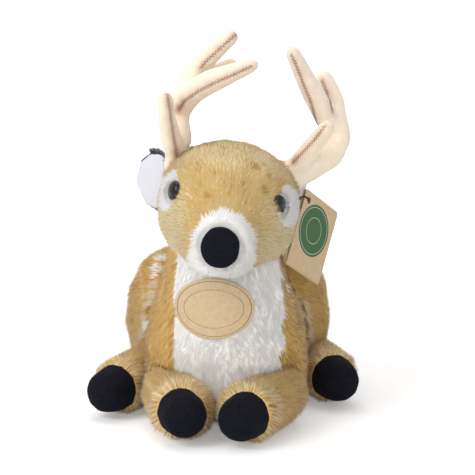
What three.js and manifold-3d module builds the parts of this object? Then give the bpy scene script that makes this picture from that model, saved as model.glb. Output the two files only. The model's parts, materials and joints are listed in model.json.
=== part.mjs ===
// A lying plush stag: sewn plush skins over stuffing, felt nose and hooves, stuffed velour antlers,
// a card badge on the chest and a folded card tag on a thread. Millimetres, +Z up, the face towards -Y.
// Left and right are the animal's own, so its right side is at -X.

import * as THREE from "three";
import { mergeVertices } from "three/addons/utils/BufferGeometryUtils.js";
import Module from "manifold-3d";

const wasm = await Module();
wasm.setup();

// Clearances and cloth
const SEAM_GAP = 0.3; // between pieces that are sewn or glued together
const PLUSH = 2.5; // plush cloth with its pile
const VELOUR = 1.2; // antler cloth
const TURN_SIDES = 10; // facets round a limb's turning root
const NECK_SIDES = 18;
const ANTLER_SIDES = 12;
const SWEEP_STEP = 20; // degrees between the places that a moving piece is cleared in
const MOVING_GAP = 0.8; // beside a moving piece, which covers the arc between those places

// Body
const NECK = { x: 0, y: -6, z: 92 }; // where the head turns and nods
const NECK_RADIUS = 38.8;
const NECK_OPENING = 30; // height of the sewn neck rim above the turning point
const STUFFING_DROP = 9; // the body stuffing's flat top, which the neck rests on, below the turning point
const HIPS_SHIFT = -4; // the rump lies a little to the right
// Each ring: x, y, z, half width, half depth
const CHEST_RINGS = [
  [0.5, 2, 14, 47, 43],
  [0.5, 1, 34, 52, 47],
  [0, -2, 62, 48.5, 45],
  [0, -5, 79, 42, 41.5],
  [NECK.x, NECK.y, NECK.z, NECK_RADIUS, NECK_RADIUS],
];
const CHEST_FOOT = 14.5; // rounded lower end
// Each ring: x, y, z, half width, half height
const BACK_RINGS = [
  [0, 0, 46.5, 44, 47],
  [0, 28, 47, 48, 47.5],
  [HIPS_SHIFT, 58, 47.5, 52, 48],
  [HIPS_SHIFT, 88, 45.5, 50, 46],
  [HIPS_SHIFT, 110, 40, 40, 38.5],
];
const BACK_FRONT = 10; // rounded front end, inside the chest
const RUMP = 24; // rounded rear end
const CHEST_WHITE = { x: 4, halfWidth: 31, low: 35, high: 120, back: -14 };
const BADGE = { x: -2.4, z: 77, halfWidth: 24.4, halfHeight: 18.2, thickness: 1.2 };

// Haunches: ring centres run forwards to backwards from each hip
const THIGH_RINGS = [
  [-1, -28, 42, 14, 31],
  [0, -8, 49, 24, 46],
  [0, 16, 49, 24, 46.5],
  [-5, 36, 43, 19, 37],
];
const THIGH_FRONT = 14;
const THIGH_REAR = 16;
const HIP = { right: [-47, 56], left: [38, 70] };

// Legs: root, ankle, radii and hoof
const FORELEG = {
  rootRadius: 17,
  ankleRadius: 17.6,
  swell: 0.8,
  rootTurn: 17,
  heel: 6,
  cuff: 6,
  sweep: 20,
};
const FORELEG_LINE = {
  right: { root: [-32, -22, 20.5], ankle: [-19.5, -63, 18.8] },
  left: { root: [36, -22, 20.5], ankle: [19.8, -64, 18] },
};
const HIND_LEG = {
  rootRadius: 17.5,
  ankleRadius: 17,
  swell: 0.8,
  rootTurn: 16,
  heel: 6,
  cuff: 6,
  sweep: 15,
};
const HIND_LINE = {
  right: { root: [-51, 30, 20.5], ankle: [-68, -7, 17.9] },
  left: { root: [47, 71, 20.5], ankle: [66, 33, 18] },
};
const HOOF = { radius: 14.9, tip: 12.8, seat: 1, length: 13.5, inner: 3, dome: 8 };

// Tail
const TAIL = { root: [HIPS_SHIFT, 130, 62], front: 3, tip: 4, turn: 7, sweep: 40 };
const TAIL_LEAN = 58; // degrees below level
// Each ring: distance along the tail, half width, half thickness
const TAIL_RINGS = [
  [0, 6.6, 5],
  [13.6, 11, 5],
  [25.5, 8.8, 4.2],
  [34, 5, 3.5],
];
const TAIL_UNDERSIDE = { inset: 1.6, forward: 3, drop: 1.9 };

// Head, drawn upright and facing -Y, then rolled and turned about the neck point.
// All that sits on the head is measured from the neck point too.
const HEAD_ROLL = 7;
const HEAD_YAW = 4;
const HEAD_TURN = 16;
const HEAD_NOD = 12;
const HEAD_X = -3; // the head's middle before it is rolled
// Each ring: y, z, half width, half height
const HEAD_RINGS = [
  [28, 49, 25, 22],
  [14, 48.5, 36.5, 31.5],
  [-2, 47, 42.5, 36],
  [-18, 45, 44, 38],
  [-34, 41.5, 41.5, 35.5],
  [-48, 36.5, 33.5, 29],
  [-60, 31.5, 25.5, 23],
  [-70, 29, 22, 20.5],
];
const HEAD_BACK = 10;
const JOWLS = 0.8; // 1 is an ellipse, and less fills the lower cheeks out
const MUZZLE_END = 11;
const MUZZLE_WHITE = { z: 29, halfWidth: 20.3, halfHeight: 20.3, back: -46 };
const NOSE = { z: 29.5, halfWidth: 12.2, halfHeight: 12.9, depth: 6.8, y: -78 };
const EYE = { x: 27.5, y: -40, z: 51.5, turn: 52, lift: 7, radius: 6, dome: 5.2, sunk: 1.2 };
const EYE_SHANK = { radius: 1.5, length: 13 };
const EYE_WASHER = { radius: 6.5, thickness: 1.4, depth: 3.5 };
const EYE_WHITE = { halfWidth: 8, halfHeight: 10.5, depth: 16 };

// Ears: each ring is distance along the ear, half width and half thickness
const EAR_RINGS = [
  [0, 5, 3.6],
  [8, 12, 3.6],
  [18, 16.5, 3.4],
  [28, 15.5, 3.1],
  [36, 9.5, 2.6],
];
const EAR_FOOT = 1;
const EAR_TIP = 3;
const EAR_TURN = 6;
const EAR_BACK = 12;
const EAR_FORWARD = 18;
const EAR_ROOT = { x: 34.5, y: 13, z: 57 };
const EAR_LINING = { inset: 1.8, rise: 2.6, proud: 0.6 };
const EAR_AIM = {
  right: { along: [-0.48, 0.66, -0.58], face: [-0.6, -0.78, 0.1] },
  left: { along: [0.28, 0.95, 0.05], face: [0.9, -0.35, 0.1] },
};

// Antlers: routes of the beam and the tines, each point x, y, z and half thickness
const ANTLER_BEND = 8;
const ANTLER_TURN = 10;
const ANTLER_MOUTH = 4.5; // hole that the antler is stuffed through
const ANTLER_FOOT = 2; // the beam's rounded lower end
const ANTLER_DEPTH = 1.12; // a tine's depth over its width
const ANTLER_TIP = 0.9; // roundness of a tine's tip over its half thickness
const ANTLER_ROUTES = {
  right: [
    [[-26, -8, 68, 8.6], [-26, -4, 83, 7], [-27.5, 0, 94, 6], [-27, 3, 106, 6.2]],
    [[-27, -11, 70, 6.6], [-30, -19, 85, 6.2], [-31.5, -27, 98, 5.2], [-31, -33, 110, 4.2]],
    [
      [-26, 1, 101, 6.2],
      [-18.5, -5, 111.5, 7.2],
      [-7, -11.5, 118.5, 7],
      [8, -19.5, 124.5, 5.2],
      [20, -25, 129.5, 3.8],
    ],
    [
      [-27, 3, 104, 5.6],
      [-22, 6, 118, 6],
      [-12, 4, 130, 6.2],
      [-2, 0, 139.5, 5.2],
      [5, -3, 145, 4.2],
    ],
    [[-24, 5, 106, 5.4], [-12, 12, 120, 4.8], [3.5, 15.5, 128, 3.6]],
  ],
  left: [
    [[41, 0, 61, 8.8], [52, 5, 65, 8.2], [64.5, 10, 72, 8.2], [70, 12.5, 83, 7.6], [68, 13, 95, 6.8]],
    [[42, -2, 63, 6.6], [50.5, -8.5, 74, 6.4], [58, -15, 84.5, 5.4], [64, -20, 92.5, 4.2]],
    [[65, 10, 90, 6.6], [60, 6, 100, 7.2], [53.5, 0, 112, 6.6], [48, -7, 124, 5.4], [42.5, -15, 136.5, 4]],
    [[68, 14, 92, 6.4], [67, 18, 103, 6.2], [63, 20, 113, 5.8], [59.5, 20, 120, 4.8]],
    [[64, 11, 94, 5], [59, 15, 105, 5], [54, 14, 115, 3.8]],
  ],
};

// Hang tag: a folded card hung by one corner
const TAG = { width: 43, height: 48, leaf: 0.6, between: 0.5, hole: 2.2, inset: 5.5, corner: 2.5 };
// The card's corner, measured from the neck point and from the head's widest place
const TAG_TOP = { y: 11, z: 51.5, widest: -14, clear: 3 };
const TAG_TURN = 62; // the card's face from straight ahead, towards the left
const TAG_LEAN = 27; // its long edge from upright
const TAG_SWING = 18;
// The thread runs through the hole, round the card's edge and back to the seam
const LOOP = { radius: 0.5, spread: 2.2, drop: 4, beside: 0.8, over: 1.8 };

const SKIN = { fur: 0xc79a5b, white: 0xf2ede2, felt: 0x17161a, antler: 0xecd7bd, dark: 0x3a322c };
const CARD = 0xb98f5c;
const REACH = 250; // of the cutting blocks and rays, past the whole animal
const SIDES = ["right", "left"];
const DOWN = new THREE.Vector3(0, 0, -1);
const UP = new THREE.Vector3(0, 0, 1);
const vector = (list) => new THREE.Vector3(...list);
const fromNeck = (x, y, z) => [NECK.x + x, NECK.y + y, NECK.z + z];

// A closed geometry as a solid that can be joined and cut
function solid(geometry) {
  const bare = geometry.index ? geometry.toNonIndexed() : geometry.clone();
  bare.deleteAttribute("normal");
  bare.deleteAttribute("uv");
  const merged = mergeVertices(bare, 1e-4);
  return new wasm.Manifold(
    new wasm.Mesh({
      numProp: 3,
      vertProperties: new Float32Array(merged.attributes.position.array),
      triVerts: new Uint32Array(merged.index.array),
    }),
  );
}

// A solid back as a flat-shaded geometry
function geometryOf(body) {
  const mesh = body.getMesh();
  const geometry = new THREE.BufferGeometry();
  const positions = new Float32Array(mesh.numVert * 3);
  for (let i = 0; i < mesh.numVert; i++) {
    positions.set(mesh.vertProperties.subarray(i * mesh.numProp, i * mesh.numProp + 3), i * 3);
  }
  geometry.setAttribute("position", new THREE.BufferAttribute(positions, 3));
  geometry.setIndex(new THREE.BufferAttribute(new Uint32Array(mesh.triVerts), 1));
  const flat = geometry.toNonIndexed();
  flat.computeVertexNormals();
  return flat;
}

// Share of a ring's half size, with the lower side filled out towards its corners
const filled = (share, height, fullness) =>
  height < 0 ? Math.sign(share) * Math.abs(share) ** fullness : share;

// Stuffed form: elliptical rings along a smooth line, closed by rounded ends
function loft(rings, { across, sides, steps, start, end, grow = 0, caps = 3, fullness = 1 }) {
  const line = new THREE.CatmullRomCurve3(rings.map((r) => new THREE.Vector3(r[0], r[1], r[2])));
  const size = new THREE.CatmullRomCurve3(rings.map((r) => new THREE.Vector3(r[3], r[4], 0)));
  const points = [];
  const faces = [];
  const addRing = (t, offset, scale) => {
    const tangent = line.getTangent(t).normalize();
    const centre = line.getPoint(t).addScaledVector(tangent, offset);
    const halves = size.getPoint(t);
    const right = across.clone().addScaledVector(tangent, -across.dot(tangent)).normalize();
    const above = new THREE.Vector3().crossVectors(tangent, right);
    for (let j = 0; j < sides; j++) {
      const angle = (2 * Math.PI * j) / sides;
      const out = filled(Math.cos(angle), Math.sin(angle), fullness);
      const up = filled(Math.sin(angle), Math.sin(angle), fullness);
      points.push(
        centre
          .clone()
          .addScaledVector(right, (halves.x + grow) * scale * out)
          .addScaledVector(above, (halves.y + grow) * scale * up),
      );
    }
  };
  const apex = (t, offset) => line.getPoint(t).addScaledVector(line.getTangent(t).normalize(), offset);
  const quarter = (k) => (Math.PI / 2) * (k / caps);
  points.push(apex(0, -(start + grow)));
  for (let k = 1; k < caps; k++) addRing(0, -(start + grow) * Math.cos(quarter(k)), Math.sin(quarter(k)));
  for (let i = 0; i <= steps; i++) addRing(i / steps, 0, 1);
  for (let k = caps - 1; k > 0; k--) addRing(1, (end + grow) * Math.cos(quarter(k)), Math.sin(quarter(k)));
  points.push(apex(1, end + grow));
  const rows = (points.length - 2) / sides;
  const at = (row, j) => 1 + row * sides + (j % sides);
  const last = points.length - 1;
  for (let j = 0; j < sides; j++) {
    faces.push(0, at(0, j + 1), at(0, j));
    for (let row = 0; row < rows - 1; row++) {
      faces.push(at(row, j), at(row, j + 1), at(row + 1, j + 1));
      faces.push(at(row, j), at(row + 1, j + 1), at(row + 1, j));
    }
    faces.push(last, at(rows - 1, j), at(rows - 1, j + 1));
  }
  const geometry = new THREE.BufferGeometry().setFromPoints(points);
  geometry.setIndex(faces);
  return solid(geometry);
}

const ballRows = (sides) => Math.round(sides * 0.6);

// How near the flats of a faceted ball come to its centre, as a share of its radius
const flatShare = (sides) => Math.cos(Math.PI / sides) * Math.cos(Math.PI / (2 * ballRows(sides)));

// Radius of a faceted seat that clears a ball of the same number of sides by the seam gap
const seatRadius = (radius, sides = TURN_SIDES) => (radius + SEAM_GAP) / flatShare(sides);
const seatedRadius = (radius, sides = TURN_SIDES) => radius * flatShare(sides) - SEAM_GAP;

function ball(centre, radius, sides = TURN_SIDES) {
  const geometry = new THREE.SphereGeometry(radius, sides, ballRows(sides));
  return solid(geometry.rotateX(Math.PI / 2).translate(...centre));
}

function block(low, high) {
  const size = high.map((value, i) => value - low[i]);
  const centre = high.map((value, i) => (value + low[i]) / 2);
  return solid(new THREE.BoxGeometry(...size).translate(...centre));
}

// Upright oval cutter along Y between two depths
function ovalCutter(x, z, halfWidth, halfHeight, front, back) {
  const geometry = new THREE.CylinderGeometry(1, 1, back - front, 20);
  geometry.scale(halfWidth, 1, halfHeight).translate(x, (front + back) / 2, z);
  return solid(geometry);
}

function turnedAbout(pivot, axis, degrees) {
  const away = new THREE.Matrix4().makeTranslation(-pivot.x, -pivot.y, -pivot.z);
  const turn = new THREE.Matrix4().makeRotationAxis(axis, THREE.MathUtils.degToRad(degrees));
  const back = new THREE.Matrix4().makeTranslation(pivot.x, pivot.y, pivot.z);
  return back.multiply(turn).multiply(away);
}

const moved = (body, matrix) => body.transform(matrix.elements);

// The space that a fixed neighbour takes, seen from a piece that turns from low to high
function sweptPast(neighbour, pivot, axis, low, high) {
  const steps = Math.ceil((high - low) / SWEEP_STEP);
  const places = [];
  for (let i = 0; i <= steps; i++) {
    places.push(moved(neighbour, turnedAbout(pivot, axis, -(low + ((high - low) * i) / steps))));
  }
  return joined(places);
}

// Matrix that sets a piece drawn along +Z onto a point, facing a direction
function setOn(point, direction) {
  const turn = new THREE.Quaternion().setFromUnitVectors(UP, direction.clone().normalize());
  return new THREE.Matrix4().compose(point, turn, new THREE.Vector3(1, 1, 1));
}

// First point of a solid met from outside along a direction
function surfacePoint(body, from, direction) {
  const mesh = new THREE.Mesh(geometryOf(body), new THREE.MeshBasicMaterial({ side: THREE.DoubleSide }));
  const hit = new THREE.Raycaster(from, direction.clone().normalize()).intersectObject(mesh)[0];
  return hit.point;
}

const joined = (bodies) => bodies.reduce((a, b) => a.add(b));

// Body

const across = new THREE.Vector3(1, 0, 0);
const outerBody = { sides: 18, steps: 5 };
const innerBody = { sides: 10, steps: 4, caps: 2 };

function bodyForm(grow, detail = outerBody) {
  const chest = loft(CHEST_RINGS, { across, start: CHEST_FOOT, end: NECK_RADIUS, grow, ...detail });
  const back = loft(BACK_RINGS, { across, start: BACK_FRONT, end: RUMP, grow, ...detail });
  const table = block([-REACH, -REACH, -REACH], [REACH, REACH, -grow]);
  return chest.add(back).subtract(table);
}

const neckPoint = [NECK.x, NECK.y, NECK.z];
const allAbove = (z) => block([-REACH, -REACH, z], [REACH, REACH, z + REACH]);
const stuffingTop = NECK.z - STUFFING_DROP;

function chestWhite(grow) {
  const { x, halfWidth, low, high, back } = CHEST_WHITE;
  const shape = new THREE.Shape();
  const half = halfWidth + grow;
  shape.moveTo(x - half, high);
  shape.lineTo(x - half, low + half * 0.5);
  shape.quadraticCurveTo(x - half, low - grow, x, low - grow);
  shape.quadraticCurveTo(x + half, low - grow, x + half, low + half * 0.5);
  shape.lineTo(x + half, high);
  const geometry = new THREE.ExtrudeGeometry(shape, { depth: REACH, bevelEnabled: false, curveSegments: 4 });
  return solid(geometry.rotateX(Math.PI / 2).translate(0, back + grow, 0));
}

function chestBadge() {
  const { x, z, halfWidth, halfHeight, thickness } = BADGE;
  const oval = ovalCutter(x, z, halfWidth, halfHeight, -REACH, NECK.y);
  return bodyForm(SEAM_GAP + thickness).intersect(oval).subtract(bodyForm(SEAM_GAP));
}

// Haunches

function thighForm(side, grow, detail) {
  const sign = side === "left" ? 1 : -1;
  const [hipX, hipY] = HIP[side];
  const rings = THIGH_RINGS.map(([out, y, z, w, h]) => [hipX + sign * out, hipY + y, z, w, h]);
  return loft(rings, { across, start: THIGH_FRONT, end: THIGH_REAR, grow, ...detail });
}

const outerThigh = { sides: 12, steps: 3 };
const innerThigh = { sides: 8, steps: 3, caps: 2 };

function thigh(side) {
  const skin = thighForm(side, 0, outerThigh).subtract(bodyForm(SEAM_GAP));
  const room = thighForm(side, -PLUSH, innerThigh);
  const stuffing = thighForm(side, -PLUSH - SEAM_GAP, innerThigh).subtract(bodyForm(2 * SEAM_GAP));
  return { cover: skin.subtract(room), stuffing };
}

// Legs

const WALL_AT_ROOT = 1.6; // the skin's cut root is this much thicker than its sides
const outerLeg = { sides: 10, steps: 1 };
const innerLeg = { sides: 8, steps: 1, caps: 2 };

function legForm(line, leg, grow, detail) {
  const root = vector(line.root);
  const ankle = vector(line.ankle);
  const rings = [0, 0.5, 1].map((t) => {
    const at = root.clone().lerp(ankle, t);
    const swell = leg.swell * Math.sin(Math.PI * t);
    const radius = THREE.MathUtils.lerp(leg.rootRadius, leg.ankleRadius, t) + swell;
    return [at.x, at.y, at.z, radius, radius];
  });
  return loft(rings, { across, start: leg.heel, end: leg.cuff, grow, ...detail });
}

function hoofForm(line, grow) {
  const ankle = vector(line.ankle);
  const along = ankle.clone().sub(vector(line.root)).normalize();
  const seat = ankle.clone().addScaledVector(along, -HOOF.seat);
  const toe = seat.clone().addScaledVector(along, HOOF.length);
  const rings = [
    [seat.x, seat.y, seat.z, HOOF.radius, HOOF.radius],
    [toe.x, toe.y, toe.z, HOOF.tip, HOOF.tip],
  ];
  return loft(rings, { across, start: HOOF.inner, end: HOOF.dome, sides: 10, steps: 1, grow });
}

function legPieces(line, leg, parent, axis) {
  const pivot = vector(line.root);
  const skin = (depth, detail) =>
    legForm(line, leg, -depth, detail).subtract(
      sweptPast(parent(MOVING_GAP + WALL_AT_ROOT * depth), pivot, axis, 0, leg.sweep),
    );
  const hoofSeat = hoofForm(line, SEAM_GAP);
  const whole = skin(0, outerLeg).add(ball(line.root, leg.rootTurn));
  return {
    cover: whole.subtract(skin(PLUSH, innerLeg)).subtract(hoofSeat),
    stuffing: skin(PLUSH + SEAM_GAP, innerLeg).subtract(hoofSeat),
    hoof: hoofForm(line, 0),
    socket: ball(line.root, seatRadius(leg.rootTurn)),
  };
}

const outward = { right: new THREE.Vector3(0, 0, -1), left: new THREE.Vector3(0, 0, 1) };
const bothSides = (make) => Object.fromEntries(SIDES.map((side) => [side, make(side)]));

const thighs = bothSides(thigh);
const forelegs = bothSides((side) => legPieces(FORELEG_LINE[side], FORELEG, bodyForm, outward[side]));
const hindLegs = bothSides((side) => {
  const haunch = (grow) => bodyForm(grow).add(thighForm(side, grow, outerThigh));
  return legPieces(HIND_LINE[side], HIND_LEG, haunch, outward[side]);
});

// Tail

function tail() {
  const root = vector(TAIL.root);
  const lean = THREE.MathUtils.degToRad(TAIL_LEAN);
  const along = new THREE.Vector3(0, Math.cos(lean), -Math.sin(lean));
  const shape = (grow) => {
    const rings = TAIL_RINGS.map(([distance, halfWidth, halfThickness]) => {
      const at = root.clone().addScaledVector(along, distance);
      return [at.x, at.y, at.z, halfWidth, halfThickness];
    });
    return loft(rings, { across, start: TAIL.front, end: TAIL.tip, sides: 8, steps: 3, caps: 2, grow });
  };
  const { inset, forward, drop } = TAIL_UNDERSIDE;
  const lower = (grow) => shape(grow - inset).translate(0, -forward, -drop);
  const turn = ball(TAIL.root, TAIL.turn);
  const kept = shape(0)
    .subtract(sweptPast(bodyForm(MOVING_GAP), root, across, 0, TAIL.sweep))
    .add(turn);
  return {
    top: kept.subtract(lower(SEAM_GAP).subtract(turn)),
    underside: kept.intersect(lower(0)).subtract(ball(TAIL.root, TAIL.turn + SEAM_GAP)),
    socket: ball(TAIL.root, seatRadius(TAIL.turn)),
  };
}

// Head

const headPose = turnedAbout(NECK, UP, HEAD_YAW).multiply(
  turnedAbout(NECK, new THREE.Vector3(0, 1, 0), HEAD_ROLL),
);
const onHead = (x, y, z) => vector(fromNeck(HEAD_X + x, y, z)).applyMatrix4(headPose);
const headDirection = (list) => vector(list).transformDirection(headPose);

const outerHead = { sides: 18, steps: 7 };
const innerHead = { sides: 10, steps: 5, caps: 2 };

function headForm(grow, detail = outerHead) {
  const rings = HEAD_RINGS.map(([y, z, w, h]) => [...fromNeck(HEAD_X, y, z), w, h]);
  const ends = { start: HEAD_BACK, end: MUZZLE_END };
  return moved(loft(rings, { across, ...ends, fullness: JOWLS, grow, ...detail }), headPose);
}

function muzzleWhite(grow) {
  const { z, halfWidth, halfHeight, back } = MUZZLE_WHITE;
  const [x, rear, height] = fromNeck(HEAD_X, back + grow, z);
  return moved(ovalCutter(x, height, halfWidth + grow, halfHeight + grow, -REACH, rear), headPose);
}

// Eyes: a domed plastic eye on a shank that runs through the skin, and a washer that locks it
function eyePieces(side, skin) {
  const sign = side === "left" ? 1 : -1;
  const turn = THREE.MathUtils.degToRad(EYE.turn);
  const lift = Math.tan(THREE.MathUtils.degToRad(EYE.lift));
  const facing = headDirection([sign * Math.sin(turn), -Math.cos(turn), lift]).normalize();
  const from = onHead(sign * EYE.x, EYE.y, EYE.z).addScaledVector(facing, REACH);
  const seat = surfacePoint(skin, from, facing.clone().negate());
  const place = setOn(seat.addScaledVector(facing, -EYE.sunk), facing);
  const eyeAt = (grow) => {
    const profile = [new THREE.Vector2(0, -EYE_SHANK.length - grow)];
    profile.push(new THREE.Vector2(EYE_SHANK.radius + grow, -EYE_SHANK.length - grow));
    profile.push(new THREE.Vector2(EYE_SHANK.radius + grow, -grow));
    for (let i = 0; i <= 4; i++) {
      const angle = (Math.PI / 2) * (i / 4);
      const rise = i === 0 ? -grow : (EYE.dome + grow) * Math.sin(angle);
      profile.push(new THREE.Vector2(i === 4 ? 0 : (EYE.radius + grow) * Math.cos(angle), rise));
    }
    return moved(solid(new THREE.LatheGeometry(profile, 12).rotateX(Math.PI / 2)), place);
  };
  const washerAt = (grow) => {
    const disc = new THREE.CylinderGeometry(
      EYE_WASHER.radius + grow,
      EYE_WASHER.radius + grow,
      EYE_WASHER.thickness + 2 * grow,
      12,
    );
    const depth = EYE_WASHER.depth - EYE.sunk + EYE_WASHER.thickness / 2;
    return moved(solid(disc.rotateX(Math.PI / 2).translate(0, 0, -depth)), place);
  };
  const whiteAt = (grow) => {
    const oval = new THREE.CylinderGeometry(1, 1, EYE_WHITE.depth, 14).rotateX(Math.PI / 2);
    oval.scale(EYE_WHITE.halfWidth + grow, EYE_WHITE.halfHeight + grow, 1);
    return moved(solid(oval), place);
  };
  return {
    eye: eyeAt(0),
    seat: eyeAt(SEAM_GAP),
    washer: washerAt(0).subtract(eyeAt(SEAM_GAP)),
    washerRoom: washerAt(SEAM_GAP),
    patch: whiteAt(0),
    patchRoom: whiteAt(SEAM_GAP),
  };
}

function noseForm() {
  const { z, halfWidth, halfHeight, depth, y } = NOSE;
  const geometry = new THREE.SphereGeometry(1, 14, 8).rotateX(Math.PI / 2);
  geometry.scale(halfWidth, depth, halfHeight).translate(...fromNeck(HEAD_X, y, z));
  return moved(solid(geometry), headPose);
}

// Ears: a plush back with a satin lining let into its hollow side
function earPieces(side) {
  const sign = side === "left" ? 1 : -1;
  const root = onHead(sign * EAR_ROOT.x, EAR_ROOT.y, EAR_ROOT.z);
  const along = headDirection(EAR_AIM[side].along).normalize();
  const face = headDirection(EAR_AIM[side].face);
  face.addScaledVector(along, -face.dot(along)).normalize();
  const wide = new THREE.Vector3().crossVectors(along, face).normalize();
  const form = (grow, inset, rise) => {
    const rings = EAR_RINGS.map(([t, w, h]) => {
      const at = root.clone().addScaledVector(along, t).addScaledVector(face, rise);
      return [at.x, at.y, at.z, w - inset, h];
    });
    const end = EAR_TIP - inset / 2;
    return loft(rings, { across: wide, start: EAR_FOOT, end, sides: 8, steps: 4, caps: 2, grow });
  };
  const turn = ball(root.toArray(), EAR_TURN);
  const axis = wide.clone().multiplyScalar(sign);
  const parent = sweptPast(headForm(MOVING_GAP), root, axis, -EAR_BACK, EAR_FORWARD);
  const whole = form(0, 0, 0).subtract(parent).add(turn);
  const keepRoot = ball(root.toArray(), EAR_TURN + SEAM_GAP);
  const lining = form(0, EAR_LINING.inset, EAR_LINING.rise).intersect(form(EAR_LINING.proud, 0, 0));
  const liningRoom = form(SEAM_GAP, EAR_LINING.inset, EAR_LINING.rise).subtract(turn);
  return {
    root,
    axis,
    back: whole.subtract(liningRoom),
    lining: lining.subtract(parent).subtract(keepRoot),
    socket: ball(root.toArray(), seatRadius(EAR_TURN)),
  };
}

// Antlers: velour beam and tines sewn as one skin and stuffed
function antlerPieces(side) {
  const routes = ANTLER_ROUTES[side].map((route) =>
    route.map(([x, y, z, half]) => [...fromNeck(x, y, z), half, half * ANTLER_DEPTH]),
  );
  const root = vector(routes[0][0].slice(0, 3));
  const axis = headDirection([0, 1, 0]).normalize();
  const tine = (rings, grow, count) => {
    const end = rings[rings.length - 1][3] * ANTLER_TIP;
    const steps = rings.length - 1;
    return loft(rings, { across, start: ANTLER_FOOT, end, sides: count, steps, caps: 2, grow });
  };
  const build = (grow, count) => joined(routes.map((rings) => tine(rings, grow, count)));
  const skin = (depth, count) =>
    build(-depth, count).subtract(
      sweptPast(headForm(MOVING_GAP + depth), root, axis, -ANTLER_BEND, ANTLER_BEND),
    );
  const beam = vector(routes[0][1].slice(0, 3)).sub(root).normalize();
  const mouth = new THREE.CylinderGeometry(ANTLER_MOUTH, ANTLER_MOUTH, 3 * ANTLER_TURN, 8);
  const opening = moved(solid(mouth.rotateX(Math.PI / 2)), setOn(root, beam));
  return {
    root,
    axis,
    cover: skin(0, 7)
      .add(ball(root.toArray(), ANTLER_TURN, ANTLER_SIDES))
      .subtract(skin(VELOUR, 5))
      .subtract(opening),
    stuffing: skin(VELOUR + SEAM_GAP, 5),
    socket: ball(root.toArray(), seatRadius(ANTLER_TURN, ANTLER_SIDES), ANTLER_SIDES),
  };
}

// Hang tag and its thread

const tagTurn = THREE.MathUtils.degToRad(TAG_TURN);
const tagLean = THREE.MathUtils.degToRad(TAG_LEAN);
const tagFacing = new THREE.Vector3(Math.sin(tagTurn), -Math.cos(tagTurn), 0);
const tagLevel = new THREE.Vector3(Math.cos(tagTurn), Math.sin(tagTurn), 0);
const tagUp = tagLevel.clone().multiplyScalar(Math.sin(tagLean)).addScaledVector(UP, Math.cos(tagLean));
const tagAcross = tagLevel.clone().multiplyScalar(Math.cos(tagLean)).addScaledVector(DOWN, Math.sin(tagLean));

// The card's hanging corner, just clear of the side of the head
const headSkin = headForm(0);
const tagTop = surfacePoint(
  headSkin,
  vector(fromNeck(REACH, TAG_TOP.widest, TAG_TOP.z)),
  new THREE.Vector3(-1, 0, 0),
)
  .addScaledVector(across, TAG_TOP.clear)
  .setY(NECK.y + TAG_TOP.y);
const tagHole = tagTop
  .clone()
  .addScaledVector(tagAcross, TAG.inset)
  .addScaledVector(tagUp, -TAG.inset);

function hangTag() {
  const { width, height, leaf, between, hole, inset, corner } = TAG;
  const shape = new THREE.Shape();
  shape.moveTo(0, 0);
  shape.lineTo(width - corner, 0);
  shape.absarc(width - corner, -corner, corner, Math.PI / 2, 0, true);
  shape.lineTo(width, -height);
  shape.lineTo(0, -height);
  shape.holes.push(new THREE.Path().absarc(inset, -inset, hole, 0, 2 * Math.PI));
  const front = new THREE.ExtrudeGeometry(shape, { depth: leaf, bevelEnabled: false, curveSegments: 5 });
  const rear = front.clone().translate(0, 0, -leaf - between);
  const fold = block([0, -height, -between - 0.1], [width, -height + leaf, 0.1]);
  const card = solid(front).add(solid(rear)).add(fold);
  const frame = new THREE.Matrix4().makeBasis(tagAcross, tagUp, tagFacing).setPosition(tagTop);
  return moved(card, frame);
}

function tagLoop() {
  const { radius, spread, drop, beside, over } = LOOP;
  const towards = new THREE.Vector3(-1, -0.1, -0.25).normalize();
  const ends = [1, -1].map((s) => {
    const from = tagHole.clone().addScaledVector(tagFacing, s * spread).addScaledVector(DOWN, drop);
    return surfacePoint(headSkin, from, towards).addScaledVector(towards, -SEAM_GAP - radius);
  });
  const at = (back, out) =>
    tagHole.clone().addScaledVector(tagAcross, -back).addScaledVector(tagFacing, out);
  const behind = -TAG.leaf - TAG.between;
  const route = [
    ends[0],
    at(TAG.inset + over, beside),
    at(TAG.inset / 2, TAG.leaf + over),
    at(0, TAG.leaf + beside),
    at(0, behind - beside),
    at(TAG.inset / 2, behind - over),
    ends[1],
  ];
  const section = new THREE.Shape().absarc(0, 0, radius, 0, 2 * Math.PI);
  const tube = new THREE.ExtrudeGeometry(section, {
    steps: 16,
    curveSegments: 4,
    extrudePath: new THREE.CatmullRomCurve3(route),
  });
  return solid(tube);
}

// Assembly

const bodySkin = bodyForm(0);
const bodyRoom = bodyForm(-PLUSH, innerBody).add(ball(neckPoint, NECK_RADIUS - PLUSH, NECK_SIDES));
const tailPieces = tail();
const bodySockets = joined([
  ...SIDES.map((side) => forelegs[side].socket),
  ...SIDES.map((side) => hindLegs[side].socket),
  tailPieces.socket,
]);
const bodyShell = bodySkin.subtract(bodyRoom).subtract(allAbove(NECK.z + NECK_OPENING)).subtract(bodySockets);
const neckTurn = seatedRadius(NECK_RADIUS - PLUSH, NECK_SIDES);
const neckDome = ball(neckPoint, neckTurn, NECK_SIDES).intersect(allAbove(stuffingTop + SEAM_GAP));
const bodyStuffing = bodyForm(-PLUSH - SEAM_GAP, innerBody)
  .subtract(allAbove(stuffingTop))
  .subtract(bodySockets);

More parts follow.
